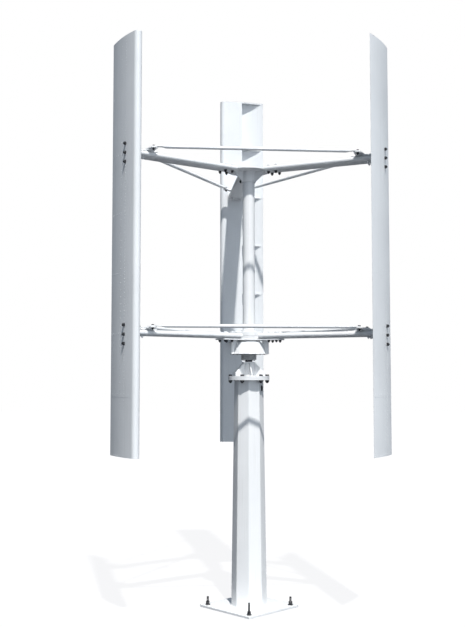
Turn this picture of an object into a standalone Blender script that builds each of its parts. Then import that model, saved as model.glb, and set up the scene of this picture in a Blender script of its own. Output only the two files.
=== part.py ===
"""Small vertical-axis wind turbine with three straight blades.

Run with: blender --background --python part.py

Metres, +Z up. The origin is the centre of the base plate's underside, and the rotor turns
about the Z axis. Pieces that repeat around the rotor are built once along +X (X radial,
Y tangential) and then turned into place.
"""
from math import atan, cos, hypot, pi, radians, sin

import bmesh
import bpy
from mathutils import Matrix, Vector

# ---- driving dimensions -----------------------------------------------------------------
GAP = 0.0003                    # clearance left between touching solids

# Mast
BASE_SIDE = 0.500
BASE_THICKNESS = 0.015
ANCHOR_SPACING = 0.419
ANCHOR_RISES = (0.082, 0.058, 0.060, 0.058)    # stud lengths above the plate
TOWER_BOTTOM_RADIUS = 0.1285    # across corners, halved
TOWER_TOP_RADIUS = 0.106
TOWER_WALL = 0.004
TOWER_TOP = 1.6202
FLANGE_RADIUS = 0.150
FLANGE_THICKNESS = 0.015
FLANGE_BORE = 0.040
FLANGE_BOLTS = 6
FLANGE_BOLT_CIRCLE = 0.136      # radius
FLANGE_BOLT_START = radians(-125.0)
CABLE_EXIT_AZIMUTH = radians(22.5)
CABLE_EXIT_HEIGHT = 1.562

# Adapter between the flanges and the generator
STAND_PIPE_RADIUS = 0.0445
STAND_PIPE_WALL = 0.005
STAND_GUSSET_REACH = 0.125
STAND_GUSSET_TOE = 0.022
STAND_TOP = 1.753
STAND_PLATE_RADIUS = 0.049
STAND_PLATE_THICKNESS = 0.0067

# Generator
SHAFT_RADIUS = 0.026
SHAFT_TOP = 1.990
NECK_RADIUS = 0.056
NECK_BOTTOM = 1.767
HOUSING_BOTTOM = 1.808
HOUSING_TOP = 1.893
HOUSING_BOTTOM_RADIUS = 0.137
HOUSING_TOP_RADIUS = 0.108
HOUSING_WALL = 0.006
CORE_RADIUS = 0.0978
CORE_BOTTOM = 1.822
CORE_TOP = 1.868
MAGNET_DEPTH = 0.008
BEARING_RADIUS = 0.0398
BEARING_WIDTH = 0.014

# Rotor
ARM_AZIMUTH = radians(21.3)
ARM_COUNT = 3
ARM_HEIGHTS = {"upper": 3.159, "lower": 1.940}
ARM_WIDTH = 0.130
ARM_THICKNESS = 0.042
ARM_WALL = 0.003
ARM_ROOTS = {"upper": 0.146, "lower": 0.101}
ARM_TIP = 0.9542
TUBE_RADIUS = 0.0445
TUBE_WALL = 0.004
HUB_SLEEVE_RADIUS = 0.0525
UPPER_DISC_RADIUS = 0.155
LOWER_DRUM_RADIUS = 0.099
LOWER_DRUM_BASE = 0.1005
DRUM_GROOVE = (0.0024, 0.006)   # height and depth, between the two flanges of the drum
HUB_LOBE_REACH = 0.262
HUB_LOBE_WIDTH = 0.110
HUB_PLATE = 0.0095
LOWER_GUSSET_REACH = 0.157
ROOT_BOLT_RADII = (0.174, 0.232)
ROOT_BOLT_OFFSET = 0.035
TIE_RADIUS = 0.0125
TIE_HEIGHT = 0.046              # tie centre above the arm centre
TIE_END_RADIUS = 0.866          # where the tie bolts stand on the arm
TIE_END_OFFSET = 0.092

# Blades
BLADE_BOTTOM = 1.110
BLADE_TOP = 3.972
CHORD = 0.365
NOSE_OFFSET = 0.130             # nose ahead of the arm centre line
SKIN = 0.0015
NOSE_RADIUS = 0.029
NOSE_CENTRE = 1.001             # distance from the rotor axis
OUTER_SLOPE = 0.08              # rise of the outer skin just behind the nose
OUTER_DROP = 0.4567             # curvature that brings it down to the trailing edge
WEB_STATION = 0.1805            # from the nose
WEB_THICKNESS = 0.002
RIB_COUNT = 8
RIB_THICKNESS = 0.003
RIB_CLEARANCE = 0.001           # between a rib and the faceted skin around it
BLADE_BOLT_HEIGHTS = {"upper": 3.159, "lower": 1.929}
BLADE_BOLT_PITCH = 0.0625

# Fastener sizes: shank radius, half the width across flats, head or nut height
M16 = (0.008, 0.012, 0.013)
M12 = (0.006, 0.0095, 0.010)
M10 = (0.005, 0.0085, 0.008)

INNER_FACE = NOSE_CENTRE - NOSE_RADIUS
FLANGE_JOINT = TOWER_TOP + FLANGE_THICKNESS

LOOKS = {
    "white_paint": ((0.86, 0.87, 0.88, 1.0), 0.45, 0.0),
    "blade_white": ((0.83, 0.85, 0.87, 1.0), 0.40, 0.0),
    "zinc_steel": ((0.30, 0.31, 0.32, 1.0), 0.45, 0.9),
    "dark_steel": ((0.10, 0.10, 0.11, 1.0), 0.50, 0.8),
    "generator_grey": ((0.42, 0.43, 0.44, 1.0), 0.50, 0.1),
    "laminated_steel": ((0.22, 0.21, 0.20, 1.0), 0.55, 0.8),
    "magnet_nickel": ((0.60, 0.60, 0.58, 1.0), 0.30, 1.0),
    "bearing_steel": ((0.55, 0.56, 0.57, 1.0), 0.20, 1.0),
    "black_rubber": ((0.03, 0.03, 0.03, 1.0), 0.80, 0.0),
}


# ---- scene helpers ----------------------------------------------------------------------
def clear_scene():
    for item in list(bpy.data.objects):
        bpy.data.objects.remove(item, do_unlink=True)


def make_material(name, color, roughness, metallic):
    material = bpy.data.materials.new(name)
    material.use_nodes = True
    shader = material.node_tree.nodes["Principled BSDF"]
    shader.inputs["Base Color"].default_value = color
    shader.inputs["Roughness"].default_value = roughness
    shader.inputs["Metallic"].default_value = metallic
    return material


def mesh_of(bm):
    """Turn a bmesh into a mesh with outward faces, and free it."""
    bmesh.ops.recalc_face_normals(bm, faces=bm.faces)
    mesh = bpy.data.meshes.new("shape")
    bm.to_mesh(mesh)
    bm.free()
    return mesh


def evaluated(item):
    """Return the mesh an object has with its modifiers, and remove the object."""
    depsgraph = bpy.context.evaluated_depsgraph_get()
    mesh = bpy.data.meshes.new_from_object(item.evaluated_get(depsgraph))
    bpy.data.objects.remove(item, do_unlink=True)
    return mesh


def helper_object(mesh):
    item = bpy.data.objects.new("helper", mesh)
    bpy.context.scene.collection.objects.link(item)
    return item


def boolean(mesh, tool, operation, self_overlap=False):
    """Return mesh with a Boolean against tool."""
    item = helper_object(mesh)
    cutter = helper_object(tool)
    modifier = item.modifiers.new("boolean", "BOOLEAN")
    modifier.operation = operation
    modifier.object = cutter
    modifier.use_self = self_overlap
    result = evaluated(item)
    bpy.data.objects.remove(cutter, do_unlink=True)
    return result


def fuse(first, *others):
    for other in others:
        first = boolean(first, other, "UNION")
    return first


def cut(mesh, tool):
    return boolean(mesh, tool, "DIFFERENCE")


def moved(mesh, matrix):
    copy = mesh.copy()
    copy.transform(matrix)
    return copy


def joined(meshes):
    """Put separate solids into one mesh."""
    bm = bmesh.new()
    for mesh in meshes:
        bm.from_mesh(mesh)
    return mesh_of(bm)


# ---- shape helpers ----------------------------------------------------------------------
def box(low, high):
    bm = bmesh.new()
    verts = bmesh.ops.create_cube(bm, size=1.0)["verts"]
    size = [b - a for a, b in zip(low, high)]
    middle = [(a + b) / 2 for a, b in zip(low, high)]
    bmesh.ops.scale(bm, vec=size, verts=verts)
    bmesh.ops.translate(bm, vec=middle, verts=verts)
    return mesh_of(bm)


def cylinder(radius, low, high, segments=12, centre=(0.0, 0.0)):
    bm = bmesh.new()
    bmesh.ops.create_cone(
        bm, cap_ends=True, segments=segments, radius1=radius, radius2=radius, depth=high - low,
        matrix=Matrix.Translation((*centre, (low + high) / 2)))
    return mesh_of(bm)


def plate(outline, low, high):
    """Extrude a flat outline of (x, y) points between two heights."""
    bm = bmesh.new()
    face = bm.faces.new([bm.verts.new((x, y, low)) for x, y in outline])
    extruded = bmesh.ops.extrude_face_region(bm, geom=[face])["geom"]
    top = [part for part in extruded if isinstance(part, bmesh.types.BMVert)]
    bmesh.ops.translate(bm, vec=(0.0, 0.0, high - low), verts=top)
    return mesh_of(bm)


def upright_plate(outline, thickness):
    """Extrude an outline of (x, z) points by a thickness centred on the XZ plane."""
    flat = plate(outline, -thickness / 2, thickness / 2)
    flat.transform(Matrix.Rotation(pi / 2, 4, "X"))
    return flat


def turned(profile, segments):
    """Turn a profile of (radius, z), running down its outer side, about the Z axis."""
    bm = bmesh.new()
    verts = [bm.verts.new((radius, 0.0, z)) for radius, z in profile]
    for first, second in zip(verts, verts[1:]):
        bm.edges.new((first, second))
    if profile[0][0] > 0.0:
        bm.edges.new((verts[-1], verts[0]))
    outline = bpy.data.meshes.new("profile")
    bm.to_mesh(outline)
    bm.free()
    item = helper_object(outline)
    screw = item.modifiers.new("screw", "SCREW")
    screw.steps = segments
    screw.render_steps = segments
    screw.use_merge_vertices = True
    screw.merge_threshold = 0.00001
    return evaluated(item)


def ring(outer, inner, low, high, segments=24):
    return turned([(outer, high), (outer, low), (inner, low), (inner, high)], segments)


def lofted(sections):
    """Join closed sections of equal point counts into one capped solid."""
    bm = bmesh.new()
    loops = [[bm.verts.new(point) for point in section] for section in sections]
    count = len(loops[0])
    for lower, upper in zip(loops, loops[1:]):
        for i in range(count):
            j = (i + 1) % count
            bm.faces.new((lower[i], lower[j], upper[j], upper[i]))
    bm.faces.new(loops[0][::-1])
    bm.faces.new(loops[-1])
    return mesh_of(bm)


def hexagon_radius(half_flats, angle):
    """Distance from centre to side of a hexagon in one direction."""
    return half_flats / cos(angle % (pi / 3) - pi / 6)


def fastener(steps, segments):
    """Stack round and six-sided stages: steps are (z, radius, is_hexagon)."""
    sections = []
    for z, radius, is_hexagon in steps:
        section = []
        for i in range(segments):
            angle = 2 * pi * i / segments
            reach = hexagon_radius(radius, angle) if is_hexagon else radius
            section.append((reach * cos(angle), reach * sin(angle), z))
        sections.append(section)
    return lofted(sections)


def plain_bolt(size, grip_low, grip_high):
    """A through bolt with its head above the grip and its nut below, six-sided throughout."""
    shank, half_flats, height = size
    return fastener([
        (grip_low - height, half_flats, True),
        (grip_low, half_flats, True),
        (grip_low, shank, False),
        (grip_high, shank, False),
        (grip_high, half_flats, True),
        (grip_high + 0.7 * height, half_flats, True),
    ], 6)


def washered_bolt(size, low_end, nut_faces, top_end, washer):
    """A bolt with a washer and a nut or head on each of nut_faces, six-sided throughout."""
    shank, half_flats, height = size
    steps = [(low_end, shank, False)]
    for face, side in nut_faces:
        inner = face + side * washer
        outer = face + side * (washer + height)
        stage = [
            (face, shank, False),
            (face, shank * 1.9, False),
            (inner, shank * 1.9, False),
            (inner, half_flats, True),
            (outer, half_flats, True),
            (outer, shank, False),
        ]
        steps += stage if side > 0 else stage[::-1]
    steps.append((top_end, shank, False))
    return fastener(steps, 6)


# ---- mast -------------------------------------------------------------------------------
def base_plate():
    half = BASE_SIDE / 2
    mesh = box((-half, -half, 0.0), (half, half, BASE_THICKNESS))
    for x, y in anchor_places():
        mesh = cut(mesh, cylinder(M16[0] + 0.001, -0.01, BASE_THICKNESS + 0.01, 8, (x, y)))
    return mesh


def anchor_places():
    half = ANCHOR_SPACING / 2
    return [(half, -half), (half, half), (-half, half), (-half, -half)]


def anchor_bolt(rise):
    face = BASE_THICKNESS + GAP
    return washered_bolt(M16, 0.0, [(face, 1)], BASE_THICKNESS + rise, 0.003)


def cable_exit_frame():
    """Place local Z on the outward normal of the tower facet, at the cable exit."""
    height = TOWER_TOP - BASE_THICKNESS
    slope = atan((TOWER_BOTTOM_RADIUS - TOWER_TOP_RADIUS) * cos(pi / 8) / height)
    share = (TOWER_TOP - CABLE_EXIT_HEIGHT) / height
    radius = TOWER_TOP_RADIUS + share * (TOWER_BOTTOM_RADIUS - TOWER_TOP_RADIUS)
    distance = radius * cos(pi / 8)
    turn = Matrix.Rotation(CABLE_EXIT_AZIMUTH, 4, "Z")
    lean = Matrix.Rotation(pi / 2 - slope, 4, "Y")
    return turn @ Matrix.Translation((distance, 0.0, CABLE_EXIT_HEIGHT)) @ lean


def oval_stack(stages, segments=16):
    """Stack ovals: stages are (z, half height, half width)."""
    angles = [2 * pi * i / segments for i in range(segments)]
    return lofted([[(a * cos(t), b * sin(t), z) for t in angles] for z, a, b in stages])


def tower_tube():
    low, high = BASE_THICKNESS + GAP, TOWER_TOP - GAP
    bm = bmesh.new()
    bmesh.ops.create_cone(
        bm, cap_ends=False, segments=8, radius1=TOWER_BOTTOM_RADIUS, radius2=TOWER_TOP_RADIUS,
        depth=high - low, matrix=Matrix.Translation((0.0, 0.0, (low + high) / 2)))
    item = helper_object(mesh_of(bm))
    wall = item.modifiers.new("wall", "SOLIDIFY")
    wall.thickness = TOWER_WALL
    wall.offset = -1.0
    wall.use_even_offset = True
    hole = oval_stack([(-0.02, 0.018, 0.010), (0.02, 0.018, 0.010)])
    return cut(evaluated(item), moved(hole, cable_exit_frame()))


def cable_grommet():
    stages = [
        (-TOWER_WALL - 0.003, 0.0155, 0.0085),
        (-TOWER_WALL, 0.0170, 0.0093),
        (GAP, 0.0170, 0.0093),
        (GAP, 0.0215, 0.0130),
        (0.0035, 0.0215, 0.0130),
        (0.0060, 0.0175, 0.0095),
    ]
    return moved(oval_stack(stages), cable_exit_frame())


def flange(low):
    mesh = ring(FLANGE_RADIUS, FLANGE_BORE, low, low + FLANGE_THICKNESS, 36)
    for angle in flange_bolt_angles():
        place = (FLANGE_BOLT_CIRCLE * cos(angle), FLANGE_BOLT_CIRCLE * sin(angle))
        hole = cylinder(M16[0] + 0.001, low - 0.01, low + FLANGE_THICKNESS + 0.01, 8, place)
        mesh = cut(mesh, hole)
    return mesh


def flange_bolt_angles():
    return [FLANGE_BOLT_START + 2 * pi * i / FLANGE_BOLTS for i in range(FLANGE_BOLTS)]


def flange_bolt():
    low = TOWER_TOP - GAP
    high = FLANGE_JOINT + FLANGE_THICKNESS + 2 * GAP
    return washered_bolt(M16, low - 0.026, [(low, -1), (high, 1)], high + 0.018, 0.002)


def adapter_stand():
    low = FLANGE_JOINT + GAP + FLANGE_THICKNESS + GAP
    neck = STAND_TOP - STAND_PLATE_THICKNESS
    bore = STAND_PIPE_RADIUS - STAND_PIPE_WALL
    mesh = turned([
        (STAND_PLATE_RADIUS, STAND_TOP),
        (STAND_PLATE_RADIUS, neck),
        (STAND_PIPE_RADIUS, neck),
        (STAND_PIPE_RADIUS, low),
        (bore, low),
        (bore, STAND_TOP),
    ], 24)
    gusset = upright_plate([
        (bore + 0.001, low),
        (STAND_GUSSET_REACH, low),
        (STAND_GUSSET_REACH, low + STAND_GUSSET_TOE),
        (STAND_PLATE_RADIUS - 0.001, neck + 0.002),
        (bore + 0.001, neck + 0.002),
    ], 0.008)
    for angle in flange_bolt_angles():
        mesh = fuse(mesh, moved(gusset, Matrix.Rotation(angle + pi / FLANGE_BOLTS, 4, "Z")))
    return mesh


# ---- generator --------------------------------------------------------------------------
def stator_shaft():
    return cylinder(SHAFT_RADIUS, STAND_TOP + GAP, SHAFT_TOP, 24)


def stator_neck():
    return ring(NECK_RADIUS, SHAFT_RADIUS + GAP, NECK_BOTTOM, HOUSING_BOTTOM + 0.008)


def stator_core():
    return ring(CORE_RADIUS, SHAFT_RADIUS + GAP, CORE_BOTTOM, CORE_TOP)


def magnet_ring():
    inner = CORE_RADIUS + 0.001
    return ring(inner + MAGNET_DEPTH, inner, CORE_BOTTOM, CORE_TOP)


def bearing(low):
    return ring(BEARING_RADIUS, SHAFT_RADIUS + GAP, low, low + BEARING_WIDTH)


def generator_housing():
    """A cone that flares downward, open below, with a bearing seat in its crown."""
    seat = BEARING_RADIUS + GAP
    crown = HOUSING_TOP - HOUSING_WALL
    return turned([
        (0.085, HOUSING_TOP + 0.0115),
        (0.085, HOUSING_TOP),
        (HOUSING_TOP_RADIUS, HOUSING_TOP),
        (HOUSING_BOTTOM_RADIUS, HOUSING_BOTTOM),
        (HOUSING_BOTTOM_RADIUS - HOUSING_WALL, HOUSING_BOTTOM),
        (HOUSING_TOP_RADIUS - HOUSING_WALL, crown),
        (seat + 0.010, crown),
        (seat + 0.010, crown - 0.012),
        (seat, crown - 0.012),
        (seat, HOUSING_TOP + 0.0115),
    ], 30)


def generator_cover():
    """The annular cover in the mouth of the housing, clear of the fixed neck."""
    outer = HOUSING_BOTTOM_RADIUS - HOUSING_WALL - 0.004
    return ring(outer, NECK_RADIUS + 0.001, HOUSING_BOTTOM, HOUSING_BOTTOM + 0.006, 24)


# ---- hubs, arms and ties ----------------------------------------------------------------
def spokes(mesh):
    """Three copies of a mesh around the axis, in one mesh."""
    return joined([moved(mesh, Matrix.Rotation(2 * pi * i / ARM_COUNT, 4, "Z"))
                   for i in range(ARM_COUNT)])


def rotor_tube():
    """The tube that joins the hubs, standing on the lower hub disc."""
    low = ARM_HEIGHTS["lower"] - ARM_THICKNESS / 2
    high = ARM_HEIGHTS["upper"] + ARM_THICKNESS / 2
    return ring(TUBE_RADIUS, TUBE_RADIUS - TUBE_WALL, low, high)


def hub(profile, lobe_low, lobe_high, gusset, grip_low, grip_high):
    """A turned core with a lobe and a gusset for each arm, and the arm root bolts."""
    mesh = turned(profile, 24)
    lobe = box((HUB_SLEEVE_RADIUS - 0.002, -HUB_LOBE_WIDTH / 2, lobe_low),
               (HUB_LOBE_REACH, HUB_LOBE_WIDTH / 2, lobe_high))
    mesh = fuse(mesh, spokes(lobe))
    mesh = fuse(mesh, spokes(upright_plate(gusset, 0.008)))
    bolts = []
    for radius in ROOT_BOLT_RADII:
        for side in (-1, 1):
            bolt = plain_bolt(M12, grip_low, grip_high)
            bolts.append(moved(bolt, Matrix.Translation((radius, side * ROOT_BOLT_OFFSET, 0.0))))
    return fuse(mesh, spokes(joined(bolts)))


def upper_hub():
    """A disc halfway up the arms; its lobes enter the hollow arms and gussets brace it."""
    centre = ARM_HEIGHTS["upper"]
    half_arm = ARM_THICKNESS / 2 + GAP
    top, bottom = centre + HUB_PLATE / 2, centre - HUB_PLATE / 2
    sleeve_low, sleeve_high = centre - 0.084, centre + 0.025
    bore = TUBE_RADIUS + GAP
    profile = [
        (UPPER_DISC_RADIUS, top),
        (UPPER_DISC_RADIUS, bottom),
        (HUB_SLEEVE_RADIUS, bottom),
        (HUB_SLEEVE_RADIUS, sleeve_low),
        (bore, sleeve_low),
        (bore, sleeve_high),
        (HUB_SLEEVE_RADIUS - 0.001, sleeve_high),
        (HUB_SLEEVE_RADIUS - 0.001, top),
    ]
    gusset = [
        (HUB_SLEEVE_RADIUS - 0.003, sleeve_low + 0.002),
        (HUB_SLEEVE_RADIUS + 0.004, sleeve_low + 0.002),
        (0.125, bottom - 0.020),
        (0.125, bottom + 0.002),
        (HUB_SLEEVE_RADIUS - 0.003, bottom + 0.002),
    ]
    mesh = hub(profile, bottom + 0.0005, top - 0.0005, gusset, centre - half_arm,
               centre + half_arm)
    cap = cylinder(HUB_SLEEVE_RADIUS - 0.003, centre + half_arm, centre + half_arm + HUB_PLATE, 24)
    return fuse(mesh, cap)


def lower_hub():
    """A drum of two flanges between the arm roots, lobes under them and hanging gussets."""
    centre = ARM_HEIGHTS["lower"]
    half_arm = ARM_THICKNESS / 2 + GAP
    arm_top, arm_bottom = centre + half_arm, centre - half_arm
    base = arm_bottom - HUB_PLATE - 0.001
    sleeve_low, sleeve_high = centre - 0.033, centre + 0.045
    bore = TUBE_RADIUS + GAP
    groove_height, groove_depth = DRUM_GROOVE
    profile = [
        (LOWER_DRUM_RADIUS, arm_top + HUB_PLATE),
        (LOWER_DRUM_RADIUS, centre + groove_height / 2),
        (LOWER_DRUM_RADIUS - groove_depth, centre + groove_height / 2),
        (LOWER_DRUM_RADIUS - groove_depth, centre - groove_height / 2),
        (LOWER_DRUM_RADIUS, centre - groove_height / 2),
        (LOWER_DRUM_RADIUS, arm_bottom),
        (LOWER_DRUM_BASE, arm_bottom),
        (LOWER_DRUM_BASE, base),
        (HUB_SLEEVE_RADIUS, base),
        (HUB_SLEEVE_RADIUS, sleeve_low),
        (bore, sleeve_low),
        (bore, sleeve_high),
        (HUB_SLEEVE_RADIUS - 0.001, sleeve_high),
        (HUB_SLEEVE_RADIUS - 0.001, arm_top + HUB_PLATE),
    ]
    return hub(profile, arm_bottom - HUB_PLATE, arm_bottom, lower_gusset(arm_bottom),
               arm_bottom - HUB_PLATE, arm_top)


def lower_gusset(arm_bottom):
    """A hanging plate that follows the generator cone down to its rim."""
    clearance = 0.0015
    slope = (HOUSING_BOTTOM_RADIUS - HOUSING_TOP_RADIUS) / (HOUSING_TOP - HOUSING_BOTTOM)
    return [
        (HOUSING_TOP_RADIUS + clearance - slope * 0.008, arm_bottom - 0.008),
        (HOUSING_TOP_RADIUS + clearance, HOUSING_TOP),
        (HOUSING_BOTTOM_RADIUS + clearance, HOUSING_BOTTOM),
        (LOWER_GUSSET_REACH, HOUSING_BOTTOM),
        (LOWER_GUSSET_REACH, arm_bottom - 0.008),
    ]


def oval_section(half_width, half_height, power, count):
    """Points of a superellipse in the YZ plane, as (y, z)."""
    points = []
    for i in range(count):
        angle = 2 * pi * (i + 0.5) / count
        y, z = cos(angle), sin(angle)
        reach = (abs(y) ** power + abs(z) ** power) ** (-1 / power)
        points.append((half_width * reach * y, half_height * reach * z))
    return points


def arm(level):
    """A hollow streamlined strut, open at both ends, drilled for its root bolts."""
    root = ARM_ROOTS[level]
    section = oval_section(ARM_WIDTH / 2, ARM_THICKNESS / 2, 2.8, 16)
    bm = bmesh.new()
    verts = [bm.verts.new((root, y, z)) for y, z in section]
    edges = [bm.edges.new((a, b)) for a, b in zip(verts, verts[1:] + verts[:1])]
    extruded = bmesh.ops.extrude_edge_only(bm, edges=edges)["geom"]
    tip = [part for part in extruded if isinstance(part, bmesh.types.BMVert)]
    bmesh.ops.translate(bm, vec=(ARM_TIP - root, 0.0, 0.0), verts=tip)
    item = helper_object(mesh_of(bm))
    wall = item.modifiers.new("wall", "SOLIDIFY")
    wall.thickness = ARM_WALL
    wall.offset = -1.0
    mesh = evaluated(item)
    holes = [cylinder(M12[0] + 0.0012, -0.05, 0.05, 6, (radius, side * ROOT_BOLT_OFFSET))
             for radius in ROOT_BOLT_RADII for side in (-1, 1)]
    return cut(mesh, joined(holes))


def tie_span():
    """Length between a tie's bolts and the distance of its middle from the axis."""
    turn = Matrix.Rotation(2 * pi / ARM_COUNT, 4, "Z")
    start = Vector((TIE_END_RADIUS, TIE_END_OFFSET, 0.0))
    end = turn @ Vector((TIE_END_RADIUS, -TIE_END_OFFSET, 0.0))
    return (end - start).length, ((start + end) / 2).length


def tie_rod():
    """A round tube with flattened, drilled ends, along the Y axis."""
    length = tie_span()[0]
    half = length / 2
    flat = (0.016, 0.003, 4.0)
    round_part = (TIE_RADIUS, TIE_RADIUS, 2.0)
    stages = [
        (-half - 0.018, 0.010, 0.003, 4.0), (-half - 0.010, *flat), (-half + 0.045, *flat),
        (-half + 0.090, *round_part), (half - 0.090, *round_part),
        (half - 0.045, *flat), (half + 0.010, *flat), (half + 0.018, 0.010, 0.003, 4.0),
    ]
    mesh = lofted([[(x, y, z) for x, z in oval_section(width, height, power, 10)]
                   for y, width, height, power in stages])
    for side in (-1, 1):
        mesh = cut(mesh, cylinder(M10[0] + 0.0012, -0.02, 0.02, 6, (0.0, side * half)))
    return mesh


def tip_bracket():
    """End plate, strap and wide lug plate that carry a blade joint and two tie ends."""
    top = ARM_THICKNESS / 2 + GAP
    lug_top = TIE_HEIGHT - 0.003 - GAP
    lug_bottom = lug_top - 0.008
    strap = box((0.800, -0.045, top), (ARM_TIP + 0.008, 0.045, top + 0.005))
    end_plate = box((ARM_TIP + GAP, -0.070, -0.035), (ARM_TIP + 0.008, 0.070, 0.0345))
    lug_plate = box((0.841, -0.115, lug_bottom), (0.891, 0.115, lug_top))
    riser = lofted([
        [(x, y * width, z) for x, y in ((0.836, -1), (0.896, -1), (0.896, 1), (0.836, 1))]
        for z, width in ((top + 0.002, 0.032), (lug_bottom + 0.002, 0.095))
    ])
    mesh = fuse(strap, end_plate, riser, lug_plate)
    nut_low = TIE_HEIGHT + 0.003 + GAP
    shank, half_flats, height = M10
    for side in (-1, 1):
        stud = fastener([
            (lug_bottom + 0.002, shank, False),
            (nut_low, shank, False),
            (nut_low, half_flats, True),
            (nut_low + height, half_flats, True),
            (nut_low + height, shank, False),
            (nut_low + height + 0.008, shank, False),
        ], 6)
        place = Matrix.Translation((TIE_END_RADIUS, side * TIE_END_OFFSET, 0.0))
        mesh = fuse(mesh, moved(stud, place))
    return mesh


# ---- blades -----------------------------------------------------------------------------
def nose_angle():
    """Where the nose circle hands over to the outer curve."""
    return atan(OUTER_SLOPE)


def outer_start():
    angle = nose_angle()
    return NOSE_RADIUS * (1 - sin(angle)), NOSE_CENTRE + NOSE_RADIUS * cos(angle)


def outer_point(station, inset):
    """A point on the outer skin, moved inward by inset, as (radius, station)."""
    start, height = outer_start()
    along = station - start
    radius = height + OUTER_SLOPE * along - OUTER_DROP * along * along
    slope = OUTER_SLOPE - 2 * OUTER_DROP * along
    length = hypot(1.0, slope)
    return radius - inset / length, station + inset * slope / length


def outer_curve(first, last, inset, count):
    return [outer_point(first + (last - first) * i / count, inset) for i in range(count + 1)]


def nose_curve(inset, count):
    """The rounded nose from the outer side to the flat inner side."""
    reach = NOSE_RADIUS - inset
    first, last = nose_angle(), pi
    points = []
    for i in range(count + 1):
        angle = first + (last - first) * i / count
        points.append((NOSE_CENTRE + reach * cos(angle), NOSE_RADIUS - reach * sin(angle)))
    return points


def in_rotor(points):
    """Change (radius, station) to (x, y) with the nose ahead of the arm."""
    return [(radius, NOSE_OFFSET - station) for radius, station in points]


def blade_outer_skin():
    """The bent sheet: trailing edge, cambered outer side and rounded nose."""
    outline = outer_curve(CHORD, outer_start()[0], 0.0, 9) + nose_curve(0.0, 8)[1:]
    bm = bmesh.new()
    verts = [bm.verts.new((x, y, BLADE_BOTTOM)) for x, y in in_rotor(outline)]
    edges = [bm.edges.new(pair) for pair in zip(verts, verts[1:])]
    extruded = bmesh.ops.extrude_edge_only(bm, edges=edges)["geom"]
    top = [part for part in extruded if isinstance(part, bmesh.types.BMVert)]
    bmesh.ops.translate(bm, vec=(0.0, 0.0, BLADE_TOP - BLADE_BOTTOM), verts=top)
    sheet = bpy.data.meshes.new("sheet")
    bm.to_mesh(sheet)
    bm.free()
    item = helper_object(sheet)
    wall = item.modifiers.new("wall", "SOLIDIFY")
    wall.thickness = SKIN
    wall.offset = -1.0 if sheet.polygons[0].normal.x > 0 else 1.0
    mesh = evaluated(item)
    for level in BLADE_BOLT_HEIGHTS:
        for z in blade_bolt_heights(level):
            hole = cylinder(M12[0] + 0.0012, 0.98, 1.06, 6)
            turn = Matrix.Translation((0.0, 0.0, z)) @ Matrix.Rotation(pi / 2, 4, "Y")
            mesh = cut(mesh, moved(hole, turn))
    return mesh


def blade_bolt_heights(level):
    centre = BLADE_BOLT_HEIGHTS[level]
    return [centre + step * BLADE_BOLT_PITCH for step in (-1, 0, 1)]


def blade_inner_skin():
    """The flat sheet that closes the front half of the blade, slotted for the anchors."""
    front = NOSE_OFFSET - NOSE_RADIUS - GAP
    back = NOSE_OFFSET - WEB_STATION + GAP
    mesh = box((INNER_FACE, back, BLADE_BOTTOM), (INNER_FACE + SKIN, front, BLADE_TOP))
    for centre in BLADE_BOLT_HEIGHTS.values():
        slot = box((INNER_FACE - 0.01, -0.0308, centre - 0.0208),
                   (INNER_FACE + 0.01, 0.0308, centre + 0.0208))
        mesh = cut(mesh, slot)
    return mesh


def blade_frame():
    """The web with its eight rear ribs, and nose ribs wherever no anchor stands."""
    inset = SKIN + RIB_CLEARANCE
    tail = CHORD - 0.016
    web_end = WEB_STATION + WEB_THICKNESS
    web_top = outer_point(WEB_STATION, inset)[0]
    mesh = box((INNER_FACE, NOSE_OFFSET - web_end, BLADE_BOTTOM),
               (web_top, NOSE_OFFSET - WEB_STATION, BLADE_TOP))
    rear = outer_curve(WEB_STATION + 0.0005, tail, inset, 5) + [(INNER_FACE, web_end - 0.0005)]
    nose = nose_curve(inset, 7)[:-1] + [(INNER_FACE + inset, NOSE_RADIUS)]
    nose += [(INNER_FACE + inset, WEB_STATION + 0.001)]
    nose += outer_curve(WEB_STATION + 0.001, outer_start()[0], inset, 4)[:-1]
    pitch = (BLADE_TOP - BLADE_BOTTOM - RIB_THICKNESS) / (RIB_COUNT - 1)
    for i in range(RIB_COUNT):
        low = BLADE_BOTTOM + i * pitch
        high = low + RIB_THICKNESS
        mesh = fuse(mesh, plate(in_rotor(rear), low, high))
        clear = all(abs(low - centre) > 0.1 for centre in BLADE_BOLT_HEIGHTS.values())
        if clear:
            mesh = fuse(mesh, plate(in_rotor(nose), low, high))
    return mesh


def blade_anchor():
    """The stud plate behind the outer skin, with its stem to the arm's end plate."""
    skin_face = outer_point(NOSE_OFFSET, 0.0)[0]
    plate_face = skin_face - SKIN - 4 * GAP
    pad = box((plate_face - 0.006, -0.020, -0.080), (plate_face, 0.020, 0.080))
    stem = box((ARM_TIP + 0.008 + GAP, -0.030, -0.020), (plate_face - 0.002, 0.030, 0.020))
    mesh = fuse(pad, stem)
    nut_low = skin_face + 2 * GAP
    shank, half_flats, height = M12
    studs = []
    for step in (-1, 0, 1):
        stud = fastener([
            (plate_face - 0.003, shank, False),
            (nut_low, shank, False),
            (nut_low, half_flats, True),
            (nut_low + height, half_flats, True),
            (nut_low + height, shank, False),
            (nut_low + height + 0.006, shank, False),
        ], 6)
        place = Matrix.Translation((0.0, 0.0, step * BLADE_BOLT_PITCH))
        studs.append(moved(stud, place @ Matrix.Rotation(pi / 2, 4, "Y")))
    return fuse(mesh, joined(studs))


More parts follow.
